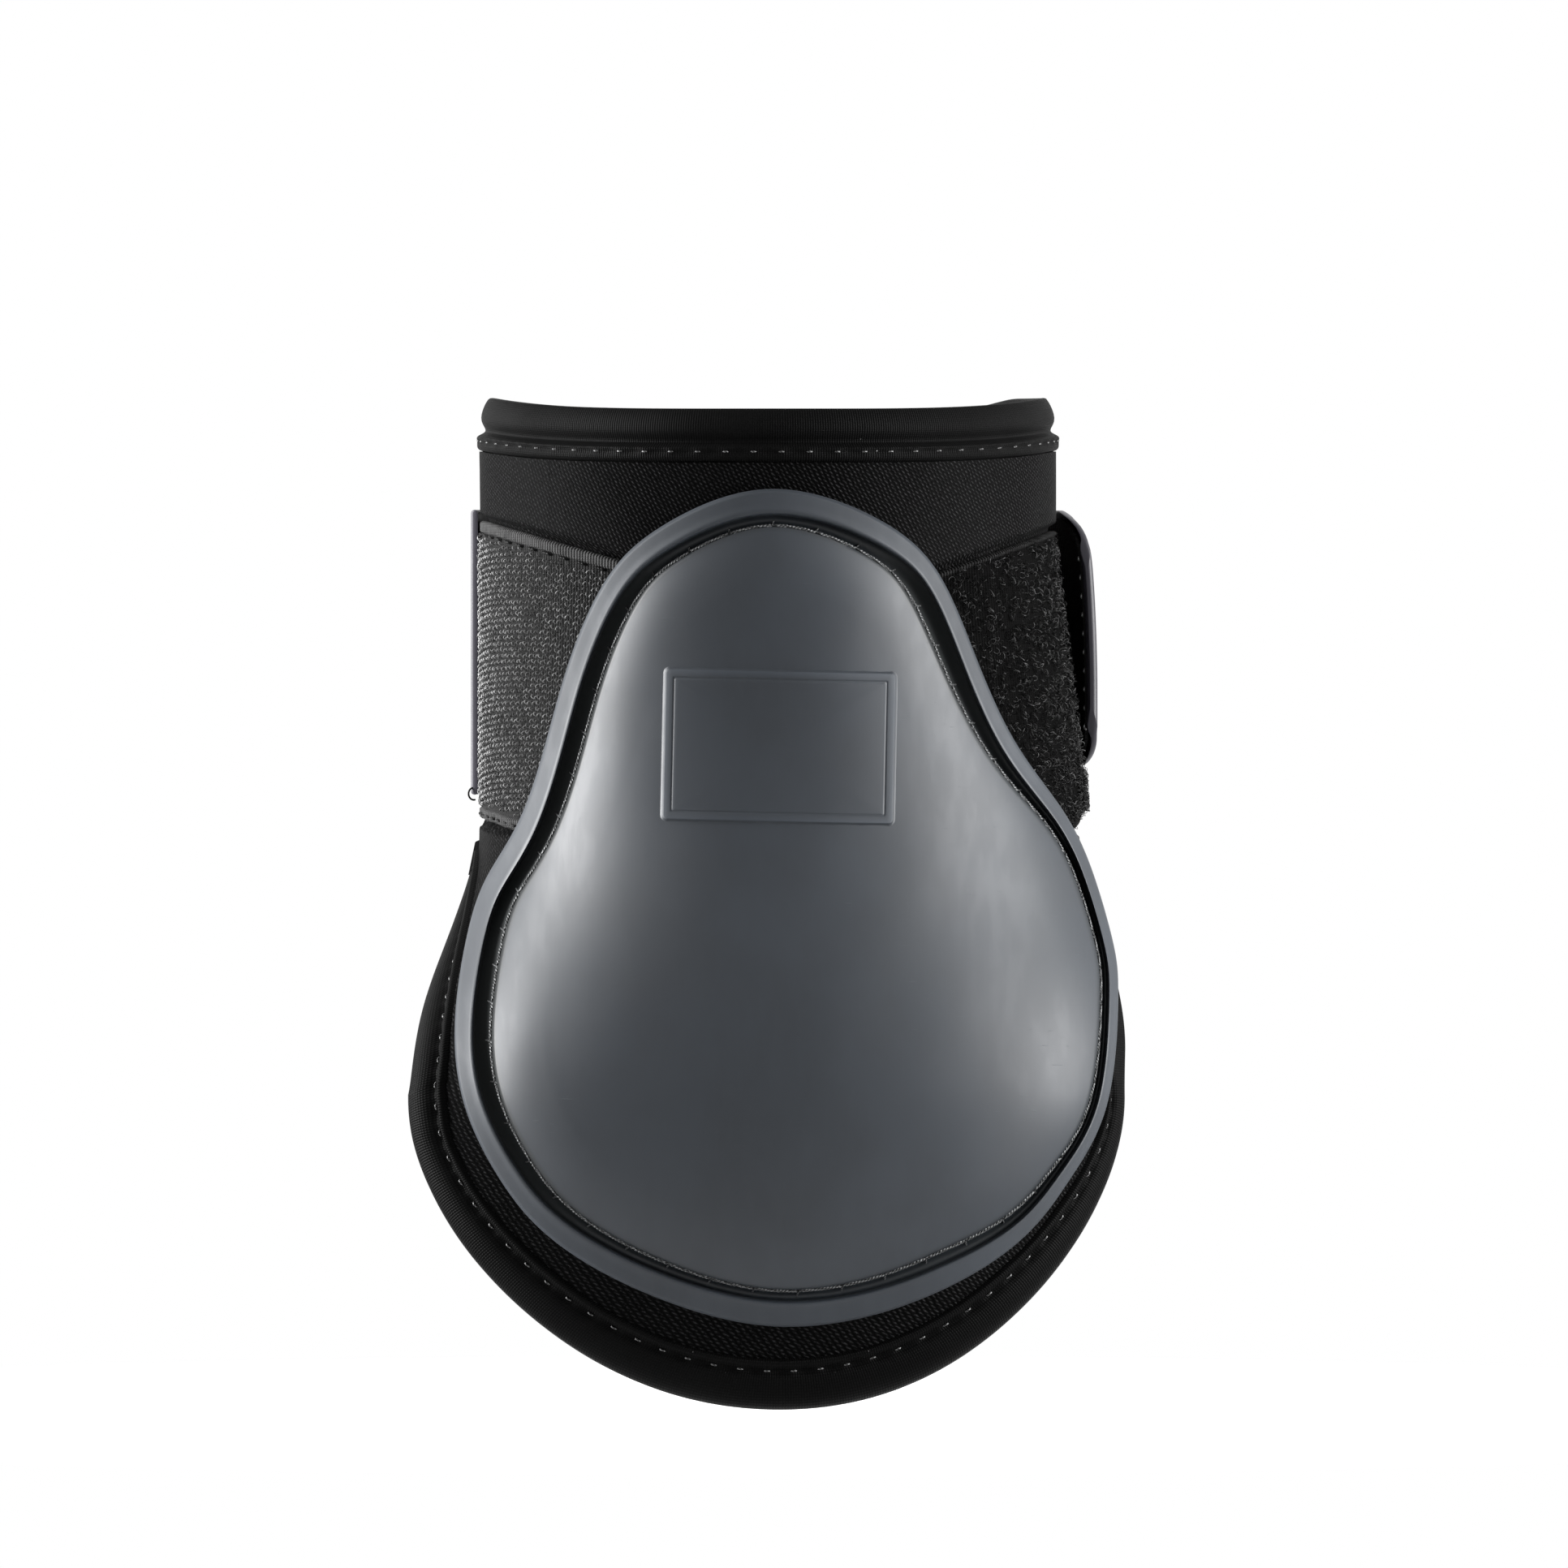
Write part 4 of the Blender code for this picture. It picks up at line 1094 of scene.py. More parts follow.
def top_rings():
    """Rings of the groove's floor, its wall, the rounded shoulder and the dome up to its pole."""
    foot = RIM_WIDTH + GROOVE_WIDTH * 0.8
    wall = RIM_WIDTH + GROOVE_WIDTH
    floor = SHELL_SEAT + GROOVE_FLOOR
    # A tone of -1 paints the groove's shade on its floor and wall, fading out at the shoulder's foot
    rings = []
    for share in np.linspace(0, 1, 9)[1:]:
        sink = GROOVE_SINK * math.sin(math.pi * share) ** 0.6
        rings.append((RIM_WIDTH + (foot - RIM_WIDTH) * share, 1.0, floor - sink, -1.0))
    for share in (0.3, 0.6, 0.85):
        rise = floor + (DOME_STEP - floor) * share**1.6
        rings.append((foot + (wall - foot) * share, 1.0, rise, -1.0))
    climb = DOME_RISE - DOME_STEP - DOME_SLOPE
    for share in np.linspace(0, 1, 19):
        rise = DOME_STEP + climb * (1 - (1 - share) ** SHOULDER_POWER) + DOME_SLOPE * share
        rings.append((wall + DOME_SHOULDER * share, 1.0, rise, -1.0 + float(ease(share / 0.12))))
    rings += [(SHOULDER_INSET, s, dome_top(s), 0.0) for s in np.linspace(0.985, 0.01, 64)]
    return rings


def under_rings():
    """Rings of the shell's underside, from the pole out to the rim's seat."""
    wall = RIM_WIDTH + GROOVE_WIDTH
    rings = [(SHOULDER_INSET, s, dome_top(s) - SHELL_WALL, 0.0) for s in (0.01, 0.3, 0.6, 0.8, 0.92)]
    rings.append((SHOULDER_INSET, 1.0, DOME_RISE - SHELL_WALL, 0.0))
    rings.append((wall + GROOVE_WIDTH / 2, 1.0, SHELL_SEAT, 0.0))
    return rings + [(wall * share, 1.0, SHELL_SEAT, 0.0) for share in (0.67, 0.33)]


def make_shell(looks):
    """The moulded strike shell, whose groove is narrower at its top and bottom, and whose painted groove
    shade is full at the sides and weaker at the top and bottom.
    """
    turns, lengths, count, _ = groove_turns()
    columns = count * 16
    run = np.arange(columns) * lengths[-1] / columns
    turn = np.interp(run, lengths, turns)
    rings = np.array(under_rings() + rim_rings(27) + top_rings())
    inset, shrink, out, tone = (rings[:, [number]] for number in range(4))
    edge_x, inner_x = shell_outline(turn, 0.0)[0], shell_outline(turn, MM)[0]
    sideways = np.clip((edge_x - inner_x) / MM, -1, 1)
    shift = GROOVE_NARROWING * (1 - sideways**2) - GROOVE_WIDENING * np.maximum(sideways, 0) ** 2
    reach_share = np.interp(inset, (0, RIM_WIDTH, RIM_WIDTH + GROOVE_WIDTH), (0, 1, 0))
    x, z = shell_outline(turn[None], inset + shift * reach_share)
    x = SHELL_CENTRE + (x - SHELL_CENTRE) * shrink
    z = pole_height() + (z - pole_height()) * shrink
    on_dome = ease((inset - RIM_WIDTH - GROOVE_WIDTH) / DOME_SHOULDER) * (out > DOME_STEP)
    points = front_point(x, z, out + dimple(x, z) * on_dome)
    chart = chart_of(x, z, out)
    # Painted shade in the groove: full where the outline runs upright, weaker where it runs across
    dark = GROOVE_TOP_SHADE_SHARE + (1 - GROOVE_TOP_SHADE_SHARE) * np.abs(sideways) ** 1.5
    tones = np.where(tone < 0, tone * dark, tone)
    points, chart, tones = flipped(points, chart, tones)
    shell = add_roll("strike_shell_moulding", points, looks["shell"], chart, tone=tones)
    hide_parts("strike_shell")
    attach(shell, "boot_front")


def dome_height(x, z):
    """Height of the dome's surface where the front view shows x and z."""
    outline_x, outline_z = shell_outline(np.linspace(0, 1, 721)[:-1], SHOULDER_INSET)
    polar = np.arctan2(outline_z - pole_height(), outline_x - SHELL_CENTRE)
    radius = np.hypot(outline_z - pole_height(), outline_x - SHELL_CENTRE)
    order = np.argsort(polar)
    here = np.arctan2(z - pole_height(), x - SHELL_CENTRE)
    reach = np.interp(here, polar[order], radius[order], period=2 * math.pi)
    share = np.hypot(z - pole_height(), x - SHELL_CENTRE) / reach
    return dome_top(share) + dimple(x, z)


def plate_ring(inset, shrink):
    """Points round a rectangle with rounded corners, a distance in from the plate's edge."""
    width, height = PLATE_WIDTH / 2 - inset, PLATE_HEIGHT / 2 - inset
    radius = max(PLATE_CORNER - inset, PLATE_CORNER / 4)
    x, z = [], []
    for number in range(4):
        turn = math.pi / 2 * (number + np.linspace(0, 1, 9))
        side_x = 1 if number in (0, 3) else -1
        side_z = 1 if number in (0, 1) else -1
        x.append(side_x * (width - radius) + radius * np.cos(turn))
        z.append(side_z * (height - radius) + radius * np.sin(turn))
    corners_x, corners_z = np.concatenate(x), np.concatenate(z)
    place = np.arange(0, 36, 0.125)
    index = np.arange(37)
    ring_x = np.interp(place, index, np.append(corners_x, corners_x[0]))
    ring_z = np.interp(place, index, np.append(corners_z, corners_z[0]))
    return ring_x * shrink, ring_z * shrink


def plate_profile():
    """Insets, shrinks, heights and wear of the plate's rings, from its sunk foot to its middle."""
    bevel = [(PLATE_BEVEL * s, 1.0, PLATE_RISE * ease(s), 0.9 * s**3) for s in np.linspace(0, 1, 8)]
    line = []
    for along in np.linspace(-1.4, 1.4, 11):
        dip = PLATE_LINE_DEPTH * math.exp(-(along**2) * 2)
        wear = 0.25 * abs(along) / 1.4
        line.append((PLATE_LINE_INSET + PLATE_LINE_WIDTH * along, 1.0, PLATE_RISE - dip, wear))
    face = [(PLATE_LINE_INSET * 1.4, share, PLATE_RISE, 0.0) for share in np.linspace(1, 0.02, 16)]
    under = [(-PLATE_BEVEL / 2, share, -PLATE_RISE, 0.0) for share in PLATE_UNDER_SHARES]
    return [*under, *bevel, *line, *face]


def make_plate(looks):
    """The bare framed panel that is moulded on the shell."""
    rows = plate_profile()
    flat = np.array([plate_ring(inset, shrink) for inset, shrink, _, _ in rows])
    turn_cos, turn_sin = math.cos(PLATE_TURN), math.sin(PLATE_TURN)
    x = PLATE_CENTRE[0] + flat[:, 0] * turn_cos - flat[:, 1] * turn_sin
    z = PLATE_CENTRE[1] + flat[:, 0] * turn_sin + flat[:, 1] * turn_cos
    out = dome_height(x, z) + np.array([row[2] for row in rows])[:, None]
    tone = np.broadcast_to(np.array([row[3] for row in rows])[:, None], x.shape)
    points, chart = front_point(x, z, out), chart_of(x, z, out)
    plate = add_roll("shell_plate", points, looks["plate"], chart, tone=tone, smooth_angle=60)
    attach(plate, "boot_front")


def make_groove_thread(looks):
    """The heavy two-ply thread sewn round the groove, and the small cross stitch at each hole."""
    turns, lengths, count, pitch = groove_turns()
    corners = 49
    share = np.linspace(0, 1, corners)
    run = (np.arange(count)[:, None] + share) * pitch

    def place(length, height):
        return shell_place(np.interp(length, lengths, turns), THREAD_INSET, 1.0, THREAD_HEIGHT + height)

    sag = np.broadcast_to(GROOVE_PLY * (1.6 - 6.5 * np.abs(2 * share - 1) ** 14), run.shape)
    base = place(run, sag)
    ups = outward(base, place, run, sag)
    aside, upward = tube_frames(base, ups)
    strands = []
    for ply in (0, 1):
        turn = 2 * math.pi * (run / (7 * GROOVE_PLY)) + math.pi * ply
        offset = np.cos(turn)[..., None] * aside + np.sin(turn)[..., None] * upward
        strands.append(base + offset * GROOVE_PLY * 0.86)
    paths = np.concatenate(strands)
    ups = np.concatenate((ups, ups))
    thread = add_tubes("groove_thread", paths, ups, GROOVE_PLY, 10, looks["heavy_thread"])
    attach(thread, "boot_front")
    across = np.linspace(-1, 1, 11)
    at_hole = np.broadcast_to(np.arange(count)[:, None] * pitch, (count, len(across)))
    lean = at_hole + across * GROOVE_PLY * 1.2
    inset = THREAD_INSET - GROOVE_WIDTH * (0.10 + 0.18 * across)
    floor = SHELL_SEAT + GROOVE_FLOOR - GROOVE_SINK / 2
    bow = GROOVE_PLY * (1.2 - 1.6 * across**4)
    arch = floor + (THREAD_HEIGHT - floor) * (1 - across) ** 2 / 4 + bow
    turn = np.interp(lean % lengths[-1], lengths, turns)
    knot = shell_place(turn, inset, 1.0, arch)
    ups = unit(shell_place(turn, inset, 1.0, arch + MM) - knot)
    made = add_tubes("groove_knots", knot, ups, GROOVE_PLY * 0.8, 8, looks["heavy_thread"])
    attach(made, "boot_front")


def make_foam(looks):
    """The foam pad under the shell's dome, which the moulding hides."""
    edge = SHOULDER_INSET - DOME_SHOULDER / 2
    fall = SHELL_WALL + GAP
    under = [(SHOULDER_INSET, share, SHELL_SEAT) for share in (0.02, 0.3, 0.6, 0.9)]
    side = [(edge, 1.0, SHELL_SEAT), (edge, 1.0, SHELL_SEAT + GAP)]
    side.append((SHOULDER_INSET, 1.0, DOME_RISE - fall))
    over_shares = (0.9, 0.75, 0.6, 0.4, 0.2, 0.02)
    over = [(SHOULDER_INSET, share, dome_top(share) - fall) for share in over_shares]
    rings = np.array(under + side + over)
    turn = np.arange(120)[None] / 120
    points = shell_place(turn, rings[:, [0]], rings[:, [1]], rings[:, [2]])[:, ::-1]
    foam = add_roll("foam_pad", points, looks["foam"], points / MM)
    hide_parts("shell_foam")
    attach(foam, "boot_front")


def tape_angles(side):
    """Front angle at the foot and at the top of a side's tape, and the angle of its end."""
    if side < 0:
        return LEFT_TAPE_FRONT_BOTTOM, LEFT_TAPE_FRONT_TOP, LEFT_TAPE_END
    return RIGHT_TAPE_FRONT_BOTTOM, RIGHT_TAPE_FRONT_TOP, RIGHT_TAPE_END


def tape_place(side, along, share, out):
    """Points of a tape: along goes 0 to 1 from its slanted front end, share 0 to 1 up its height."""
    foot, top, back = tape_angles(side)
    front = foot + (top - foot) * share
    angle = front + (back - front) * along
    z = tape_foot(side * angle) + (tape_top(side * angle) - tape_foot(side * angle)) * share
    return side * angle, z, body_point(side * angle, z, out)


def make_tape(side, word, look):
    """The woven ground of a tape, with a raised selvage along both edges."""
    selvage_width = SELVAGE if side < 0 else LOOP_SELVAGE
    along, share = np.meshgrid(np.linspace(0, 1, 240), np.linspace(0, 1, 150))
    from_edge = np.minimum(share, 1 - share) * TAPE_HEIGHT
    selvage = 1 - ease((from_edge - selvage_width) / (SELVAGE / 6))
    edge = np.sqrt(np.clip(from_edge / (selvage_width / 4), 0.02, 1))
    wave_out = TAPE_WAVE * np.sin(along * 31) * selvage
    sink = TAPE_THICKNESS * (0.35 - selvage * 0.25 + (1 - edge) * 0.5)
    angle, z, outer = tape_place(side, along, share, wave_out - sink)
    _, _, inner = tape_place(side, along, share, np.full_like(along, -TAPE_THICKNESS * 1.05))
    face, back, chart, tone = flipped(outer, inner, body_chart(angle, z), selvage, step=side)
    tape = add_sheet(f"{word}_tape_ground", face, back, look, chart, tone=np.tile(tone.ravel(), 2))
    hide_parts(f"{word}_tape_front", f"{word}_tape_wing")
    bend_at_fold(tape)


def make_tape_stitches(side, name, look):
    """Rows of stitches in both selvages of a tape."""
    foot, _, back = tape_angles(side)
    length = (back - foot) * LEG_HALF_WIDTH
    count = int(length / TAPE_STITCH)
    rows = (("lower", SELVAGE * 0.5 / TAPE_HEIGHT), ("upper", 1 - SELVAGE * 1.3 / TAPE_HEIGHT))
    for word, share in rows:

        def place(run, height, share=share):
            out = -TAPE_THICKNESS * 0.12 + height
            return tape_place(side, np.clip(run / length, 0, 1), share + 0 * run, out)[2]

        row = f"{name}_{word}"
        made = add_stitches(row, place, count, TAPE_STITCH, 0.55, look, radius=THREAD * 1.5)
        bend_at_fold(made)


def field_spots(side, pitch, step, jitter):
    """Places on a tape between its selvages: columns a pitch apart and rows a step apart."""
    foot, top, back = tape_angles(side)
    columns = int((back - (foot + top) / 2) * LEG_HALF_WIDTH / pitch)
    rows = int((TAPE_HEIGHT - 2 * SELVAGE) / step)
    column, row = np.meshgrid(np.arange(columns), np.arange(rows))
    along = (column + 0.5 + draws.normal(0, jitter, column.shape)) / columns
    margin = SELVAGE / TAPE_HEIGHT * FIELD_MARGIN_SHARE
    up_share = (row + column * 0.37 % 1 + draws.normal(0, jitter, row.shape)) / rows
    share = margin + (1 - 2 * margin) * up_share
    return np.clip(along, 0, 1).ravel(), np.clip(share, margin, 1 - margin).ravel(), column.ravel()


def local_axes(side, along, share, out):
    """Base points on a tape with the directions along it, up it and off it."""
    nudge_share = 0.002
    base = tape_place(side, along, share, out)[2]
    ahead = unit(tape_place(side, along + nudge_share, share, out)[2] - base)
    upward = unit(tape_place(side, along, share + nudge_share, out)[2] - base)
    return base, ahead, upward, unit(tape_place(side, along, share, out + MM)[2] - base)


def make_hooks(look):
    """Cane-shaped plastic hooks in columns on the hook tape, bent up and down by turns."""
    along, share, column = field_spots(-1, HOOK_PITCH, HOOK_STEP, 0.04)
    base, ahead, upward, off = local_axes(-1, along, share, -TAPE_THICKNESS * 0.45)
    lean = np.where(column % 2, 0.42, -0.42) + draws.normal(0, 0.10, len(column))
    bend = upward * np.cos(lean)[:, None] + ahead * np.sin(lean)[:, None]
    bend = bend * np.where(column % 2, 1, -1)[:, None]
    height = HOOK_HEIGHT * (1 + draws.normal(0, 0.12, len(column)))[:, None, None]
    rise_shares = np.array((-0.1, 0.35, 0.7, 0.93, 1.0, 0.92, 0.70, 0.5))
    reach_shares = np.array((0.0, 0.02, 0.08, 0.28, 0.55, 0.82, 0.95, 0.92))
    rise, reach = rise_shares[:, None] * off[:, None], reach_shares[:, None] * bend[:, None]
    paths = base[:, None] + height * (rise + reach)
    ups = np.broadcast_to(unit(np.cross(off, bend))[:, None], paths.shape)
    hooks = add_tubes("hook_field", paths, ups, HOOK_WIRE, 5, look)
    bend_at_fold(hooks)


def loop_spots(count):
    """Places of the loops: spread over the tape, with more of them along its foot at the right side."""
    along, share = draws.random(count), 0.01 + 0.97 * draws.random(count)
    foot, _, back = tape_angles(1)
    edge = draws.random(count) < LOOP_EDGE_SHARE
    angle = np.where(edge, FOLD_ANGLE + draws.normal(0, 0.05, count), 0)
    along = np.where(edge, (angle - foot) / (back - foot), along)
    return along, np.where(edge, 0.02 + 0.13 * draws.random(count), share), edge


def make_loops(look):
    """Curled fibres of the loop tape: open rings that stand on the ground and lean every way."""
    along, share, edge = loop_spots(LOOP_COUNT)
    base, ahead, upward, off = local_axes(1, along, share, -TAPE_THICKNESS * 0.5)
    turn = np.linspace(-0.5, 0.5, 13)[None] * draws.uniform(3.6, 5.9, LOOP_COUNT)[:, None]
    radius = LOOP_SIZE * draws.uniform(0.6, 1.3, LOOP_COUNT)[:, None]
    heading = draws.uniform(0, 2 * math.pi, LOOP_COUNT)[:, None]
    flat = np.cos(heading) * ahead + np.sin(heading) * upward
    lean = np.where(edge, 0.5, draws.uniform(0.1, 1.45, LOOP_COUNT))[:, None]
    aside = np.cos(lean) * off + np.sin(lean) * unit(np.cross(off, flat))
    height = radius * (1 + np.cos(turn)) * np.where(edge, 1.25, 1.0)[:, None]
    along_ring = (radius * np.sin(turn))[..., None] * flat[:, None]
    paths = base[:, None] + along_ring + height[..., None] * aside[:, None]
    ups = np.broadcast_to(unit(np.cross(flat, aside))[:, None], paths.shape)
    loops = add_tubes("loop_pile", paths, ups, LOOP_WIRE, 3, look)
    bend_at_fold(loops)


def band_grid(columns, rows, ends, heights, radius, low_out, high_out):
    """Outer and inner grids of a flat band with rounded long edges."""
    rise_shares = 0.5 - 0.5 * np.cos(np.linspace(0, math.pi, rows))
    along, share = np.meshgrid(np.linspace(0, 1, columns), rise_shares)
    angle = ends[0] + (ends[1] - ends[0]) * along
    z = heights[0] + (heights[1] - heights[0]) * share
    from_edge = np.minimum(z - heights[0], heights[1] - z)
    full = np.sqrt(1 - (1 - np.clip(from_edge / radius, 0, 1)) ** 2)
    middle = (low_out + high_out) / 2
    return angle, z, middle + (high_out - middle) * full, middle + (low_out - middle) * full


def make_anchor(looks):
    """The glossy anchor strip that the strap is sewn to, on the left wing."""
    start = FOLD_ANGLE + GAP / LEG_HALF_WIDTH
    ends = (-ANCHOR_END, -start)
    heights, faces = (ANCHOR_BOTTOM, ANCHOR_TOP), (GAP, GAP + ANCHOR_THICKNESS)
    angle, z, high, low = band_grid(60, 90, ends, heights, ANCHOR_EDGE, *faces)
    end = np.sqrt(np.clip((-start - angle) * LEG_HALF_WIDTH / ANCHOR_EDGE, 0.01, 1))
    high = low + (high - low) * np.minimum(end, 1)
    outer, inner = strap_point(angle, z, high), strap_point(angle, z, low)
    anchor = add_sheet("anchor_strip", outer, inner, looks["anchor"], body_chart(angle, z))
    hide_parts("anchor_tab")
    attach(anchor, "left_wing")


def make_elastic(looks):
    """The wide elastic across the open back, in two halves that meet at its middle."""
    turn = 2 * math.pi
    joint = GAP / LEG_HALF_WIDTH
    start, end = TAB_ROOT + joint, turn - ANCHOR_END - joint
    middle = (start + end) / 2
    halves = (
        ("right", (start, middle), "closing_tab", start),
        ("left", (middle, end), "left_wing", end),
    )
    for word, ends, body, at in halves:
        heights, faces = (ELASTIC_BOTTOM, ELASTIC_TOP), (GAP, GAP + ELASTIC_THICKNESS)
        angle, z, high, low = band_grid(130, 90, ends, heights, ELASTIC_EDGE, *faces)
        high = high + wavy(angle, z, ELASTIC_WAVE, 14)
        outer, inner = strap_point(angle, z, high), strap_point(angle, z, low)
        elastic = add_sheet(f"elastic_{word}", outer, inner, looks["webbing"], body_chart(angle, z))
        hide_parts("strap_elastic")
        hinge = strap_point(at, 0.0, 2 * GAP + ELASTIC_THICKNESS)
        if body == "closing_tab":
            away = strap_point(at + STRAP_BEND, 0.0, 2 * GAP + ELASTIC_THICKNESS)
            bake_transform(elastic)
        else:
            away = strap_point(at - STRAP_BEND, 0.0, 2 * GAP + ELASTIC_THICKNESS)
            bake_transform(elastic)


def tab_point(angle, z, out):
    """Points of the closing tab, whose upper edge curls in towards the leg near its tip."""
    rise = np.clip((z - TAB_CURL_BOTTOM) / TAB_CURL_REACH, 0, None)
    low = np.clip((TAB_BOTTOM + TAB_FOOT_REACH - z) / TAB_FOOT_REACH, 0, None)
    fade = 1 - ease((angle - TAB_TIP) / (TAB_ROOT - TAB_TIP) * 1.6)
    curl = TAB_LEAN * rise**2 + TAB_CURL * rise**14 + TAB_FOOT_CURL * low**2
    return strap_point(angle, z, out - curl * fade)


def tab_grid(columns, rows, hem):
    """Angles, heights and distances from the edge of the closing tab's rounded outline."""
    radius = right_half_width(ELASTIC_BOTTOM)
    tip = TAB_TIP + hem / radius
    corner = TAB_CORNER - hem
    middle = (TAB_TOP + TAB_BOTTOM) / 2
    half = (TAB_TOP - TAB_BOTTOM) / 2 - hem
    u = np.linspace(0, 1, columns)[None]
    v = -np.cos(np.linspace(0, math.pi, rows))[:, None]
    angle = tip + (TAB_ROOT - tip) * u**2
    past = np.clip(corner - (angle - tip) * radius, 0, corner)
    reach = half - corner + np.sqrt(corner**2 - past**2)
    z = middle + reach * v
    from_edge = np.minimum((angle - tip) * radius, reach * (1 - np.abs(v)))
    return np.broadcast_to(angle, z.shape), z, from_edge


def make_tab(looks):
    """The closing tab: its glossy cover with a rounded border, and the hook lining inside it."""
    base = GAP + TAB_LINING + GAP
    angle, z, from_edge = tab_grid(140, 110, 0.0)
    full = np.sqrt(1 - (1 - np.clip(from_edge / TAB_EDGE, 0, 1)) ** 2)
    bead = TAB_BEAD * near(from_edge, TAB_BEAD_INSET, TAB_BEAD_REACH)
    high = base + TAB_COVER * (0.35 + 0.65 * full) + bead
    radius = right_half_width(ELASTIC_BOTTOM)
    lip = near((angle - TAB_TIP) * radius, TAB_LIP / 2, TAB_LIP / 2)
    outer = tab_point(angle, z, high + TAB_LIP_THICKNESS * 0.2 * lip)
    inner = tab_point(angle, z, base + TAB_COVER * 0.3 * (1 - full) - TAB_LIP_THICKNESS * lip)
    outer, inner, chart = flipped(outer, inner, body_chart(angle, z))
    cover = add_sheet("closing_tab_cover", outer, inner, looks["tab"], chart)
    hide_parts("tab_cover")
    angle, z, _ = tab_grid(70, 70, TAB_HEM)
    outer, inner = tab_point(angle, z, GAP + TAB_LINING), tab_point(angle, z, GAP)
    face, back, chart = flipped(outer, inner, body_chart(angle, z))
    lining = add_sheet("closing_tab_hooks", face, back, looks["hook_ground"], chart)
    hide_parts("tab_hook_lining")
    for obj in (cover, lining):
        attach(obj, "closing_tab")


def make_tab_stitches(look):
    """A line of small stitches up the tab's tip, seen on its inner face."""
    angle = TAB_TIP + TAB_SEAM / right_half_width(ELASTIC_BOTTOM)
    bottom = TAB_BOTTOM + TAB_CORNER / 2
    count = int((TAB_TOP - TAB_CORNER / 2 - bottom) / TAPE_STITCH)

    def place(run, height):
        return tab_point(np.full_like(run, angle), bottom + run, GAP - height)

    made = add_stitches("closing_tab_thread", place, count, TAPE_STITCH, 0.26, look, radius=THREAD)
    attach(made, "closing_tab")


def tab_outline(run, inset):
    """Angle and height on the tab, an inset from its edge, from its root round its tip and back."""
    radius = right_half_width(ELASTIC_BOTTOM)
    bend = TAB_CORNER - inset
    flat = (TAB_ROOT - TAB_TIP) * radius - TAB_CORNER
    tall = TAB_TOP - TAB_BOTTOM - 2 * TAB_CORNER
    up = np.clip(run - flat - bend * math.pi / 2, 0, tall)
    turn = np.clip((run - flat - up) / bend, 0, math.pi)
    past = np.maximum(run - flat - math.pi * bend - tall, 0)
    from_tip = TAB_CORNER + np.maximum(flat - run, 0) - bend * np.sin(turn) + past
    return TAB_TIP + from_tip / radius, TAB_BOTTOM + TAB_CORNER + up - bend * np.cos(turn)


def make_tab_seam(look):
    """The seam round the tab's outer face, and the row that holds it to the elastic."""
    radius = right_half_width(ELASTIC_BOTTOM)
    face = 2 * GAP + TAB_LINING + TAB_COVER
    flat = (TAB_ROOT - TAB_TIP) * radius - TAB_CORNER
    length = 2 * flat + math.pi * (TAB_CORNER - TAB_SEAM) + TAB_TOP - TAB_BOTTOM - 2 * TAB_CORNER

    def round_place(run, height):
        return tab_point(*tab_outline(run, TAB_SEAM), face + height)

    def root_place(run, height):
        angle = np.full_like(run, TAB_ROOT - 1.5 * TAB_SEAM / radius)
        return tab_point(angle, TAB_BOTTOM + TAB_SEAM + run, face + height)

    rows = (("round", round_place, length), ("root", root_place, TAB_TOP - TAB_BOTTOM - 2 * TAB_SEAM))
    for word, place, size in rows:
        row, count = f"closing_tab_seam_{word}", int(size / SEAM_STITCH)
        made = add_stitches(row, place, count, SEAM_STITCH, 0.62, look)
        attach(made, "closing_tab")


def make_anchor_seam(look):
    """The row of stitches that holds the anchor strip and the elastic's end to the wing."""
    height = ANCHOR_TOP - ANCHOR_BOTTOM - 2 * TAB_SEAM
    angle = TAB_SEAM / LEG_HALF_WIDTH - ANCHOR_END

    def place(run, lift):
        face = GAP + ANCHOR_THICKNESS + lift
        return strap_point(np.full_like(run, angle), ANCHOR_BOTTOM + TAB_SEAM + run, face)

    made = add_stitches("anchor_seam", place, int(height / SEAM_STITCH), SEAM_STITCH, 0.62, look)
    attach(made, "left_wing")


def make_stray_thread(look):
    """The loose loop of thread at the anchor strip's lower end."""
    share = np.linspace(0, 1, 25)
    turn = math.pi * 1.1 * share
    angle = -(FOLD_ANGLE + STRAY_REACH / LEG_HALF_WIDTH * (0.6 + 0.3 * np.cos(2 * turn)))
    z = ANCHOR_BOTTOM + STRAY_REACH * (1.2 * np.cos(turn) + 0.2)
    paths = strap_point(angle, z, GAP + ANCHOR_THICKNESS * 0.6 + STRAY_REACH * np.sin(turn))[None]
    ups = np.broadcast_to((0.0, -1.0, 0.0), paths.shape)
    made = add_tubes("stray_thread", paths, ups, THREAD, 8, look)
    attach(made, "left_wing")


def add_light(name, place, size, power):
    """A rectangular area lamp that faces the object."""
    light = bpy.data.lights.new(name, "AREA")
    light.shape = "RECTANGLE"
    light.size, light.size_y = size
    light.energy = power
    made = bpy.data.objects.new(name, light)
    made.location = place
    made.rotation_euler = (Vector(LAMP_TARGET) - Vector(place)).to_track_quat("-Z", "Y").to_euler()
    bpy.context.scene.collection.objects.link(made)


def seen_straight(tree):
    """1 for the rays that should meet the white background, 0 for those that light the object."""
    rays = tree.nodes.new("ShaderNodeLightPath").outputs
    seen = rays["Is Camera Ray"]
    for kind in ("Is Glossy Ray", "Is Transmission Ray"):
        seen = maths(tree, "MAXIMUM", seen, rays[kind])
    return seen


def make_world():
    """A white room behind the object, which lights it only dimly."""
    world = bpy.data.worlds.new("studio")
    bpy.context.scene.world = world
    world.use_nodes = True
    tree = world.node_tree
    shade = mix(tree, seen_straight(tree), ROOM_COLOR, WHITE)
    tree.links.new(shade, tree.nodes["Background"].inputs["Color"])


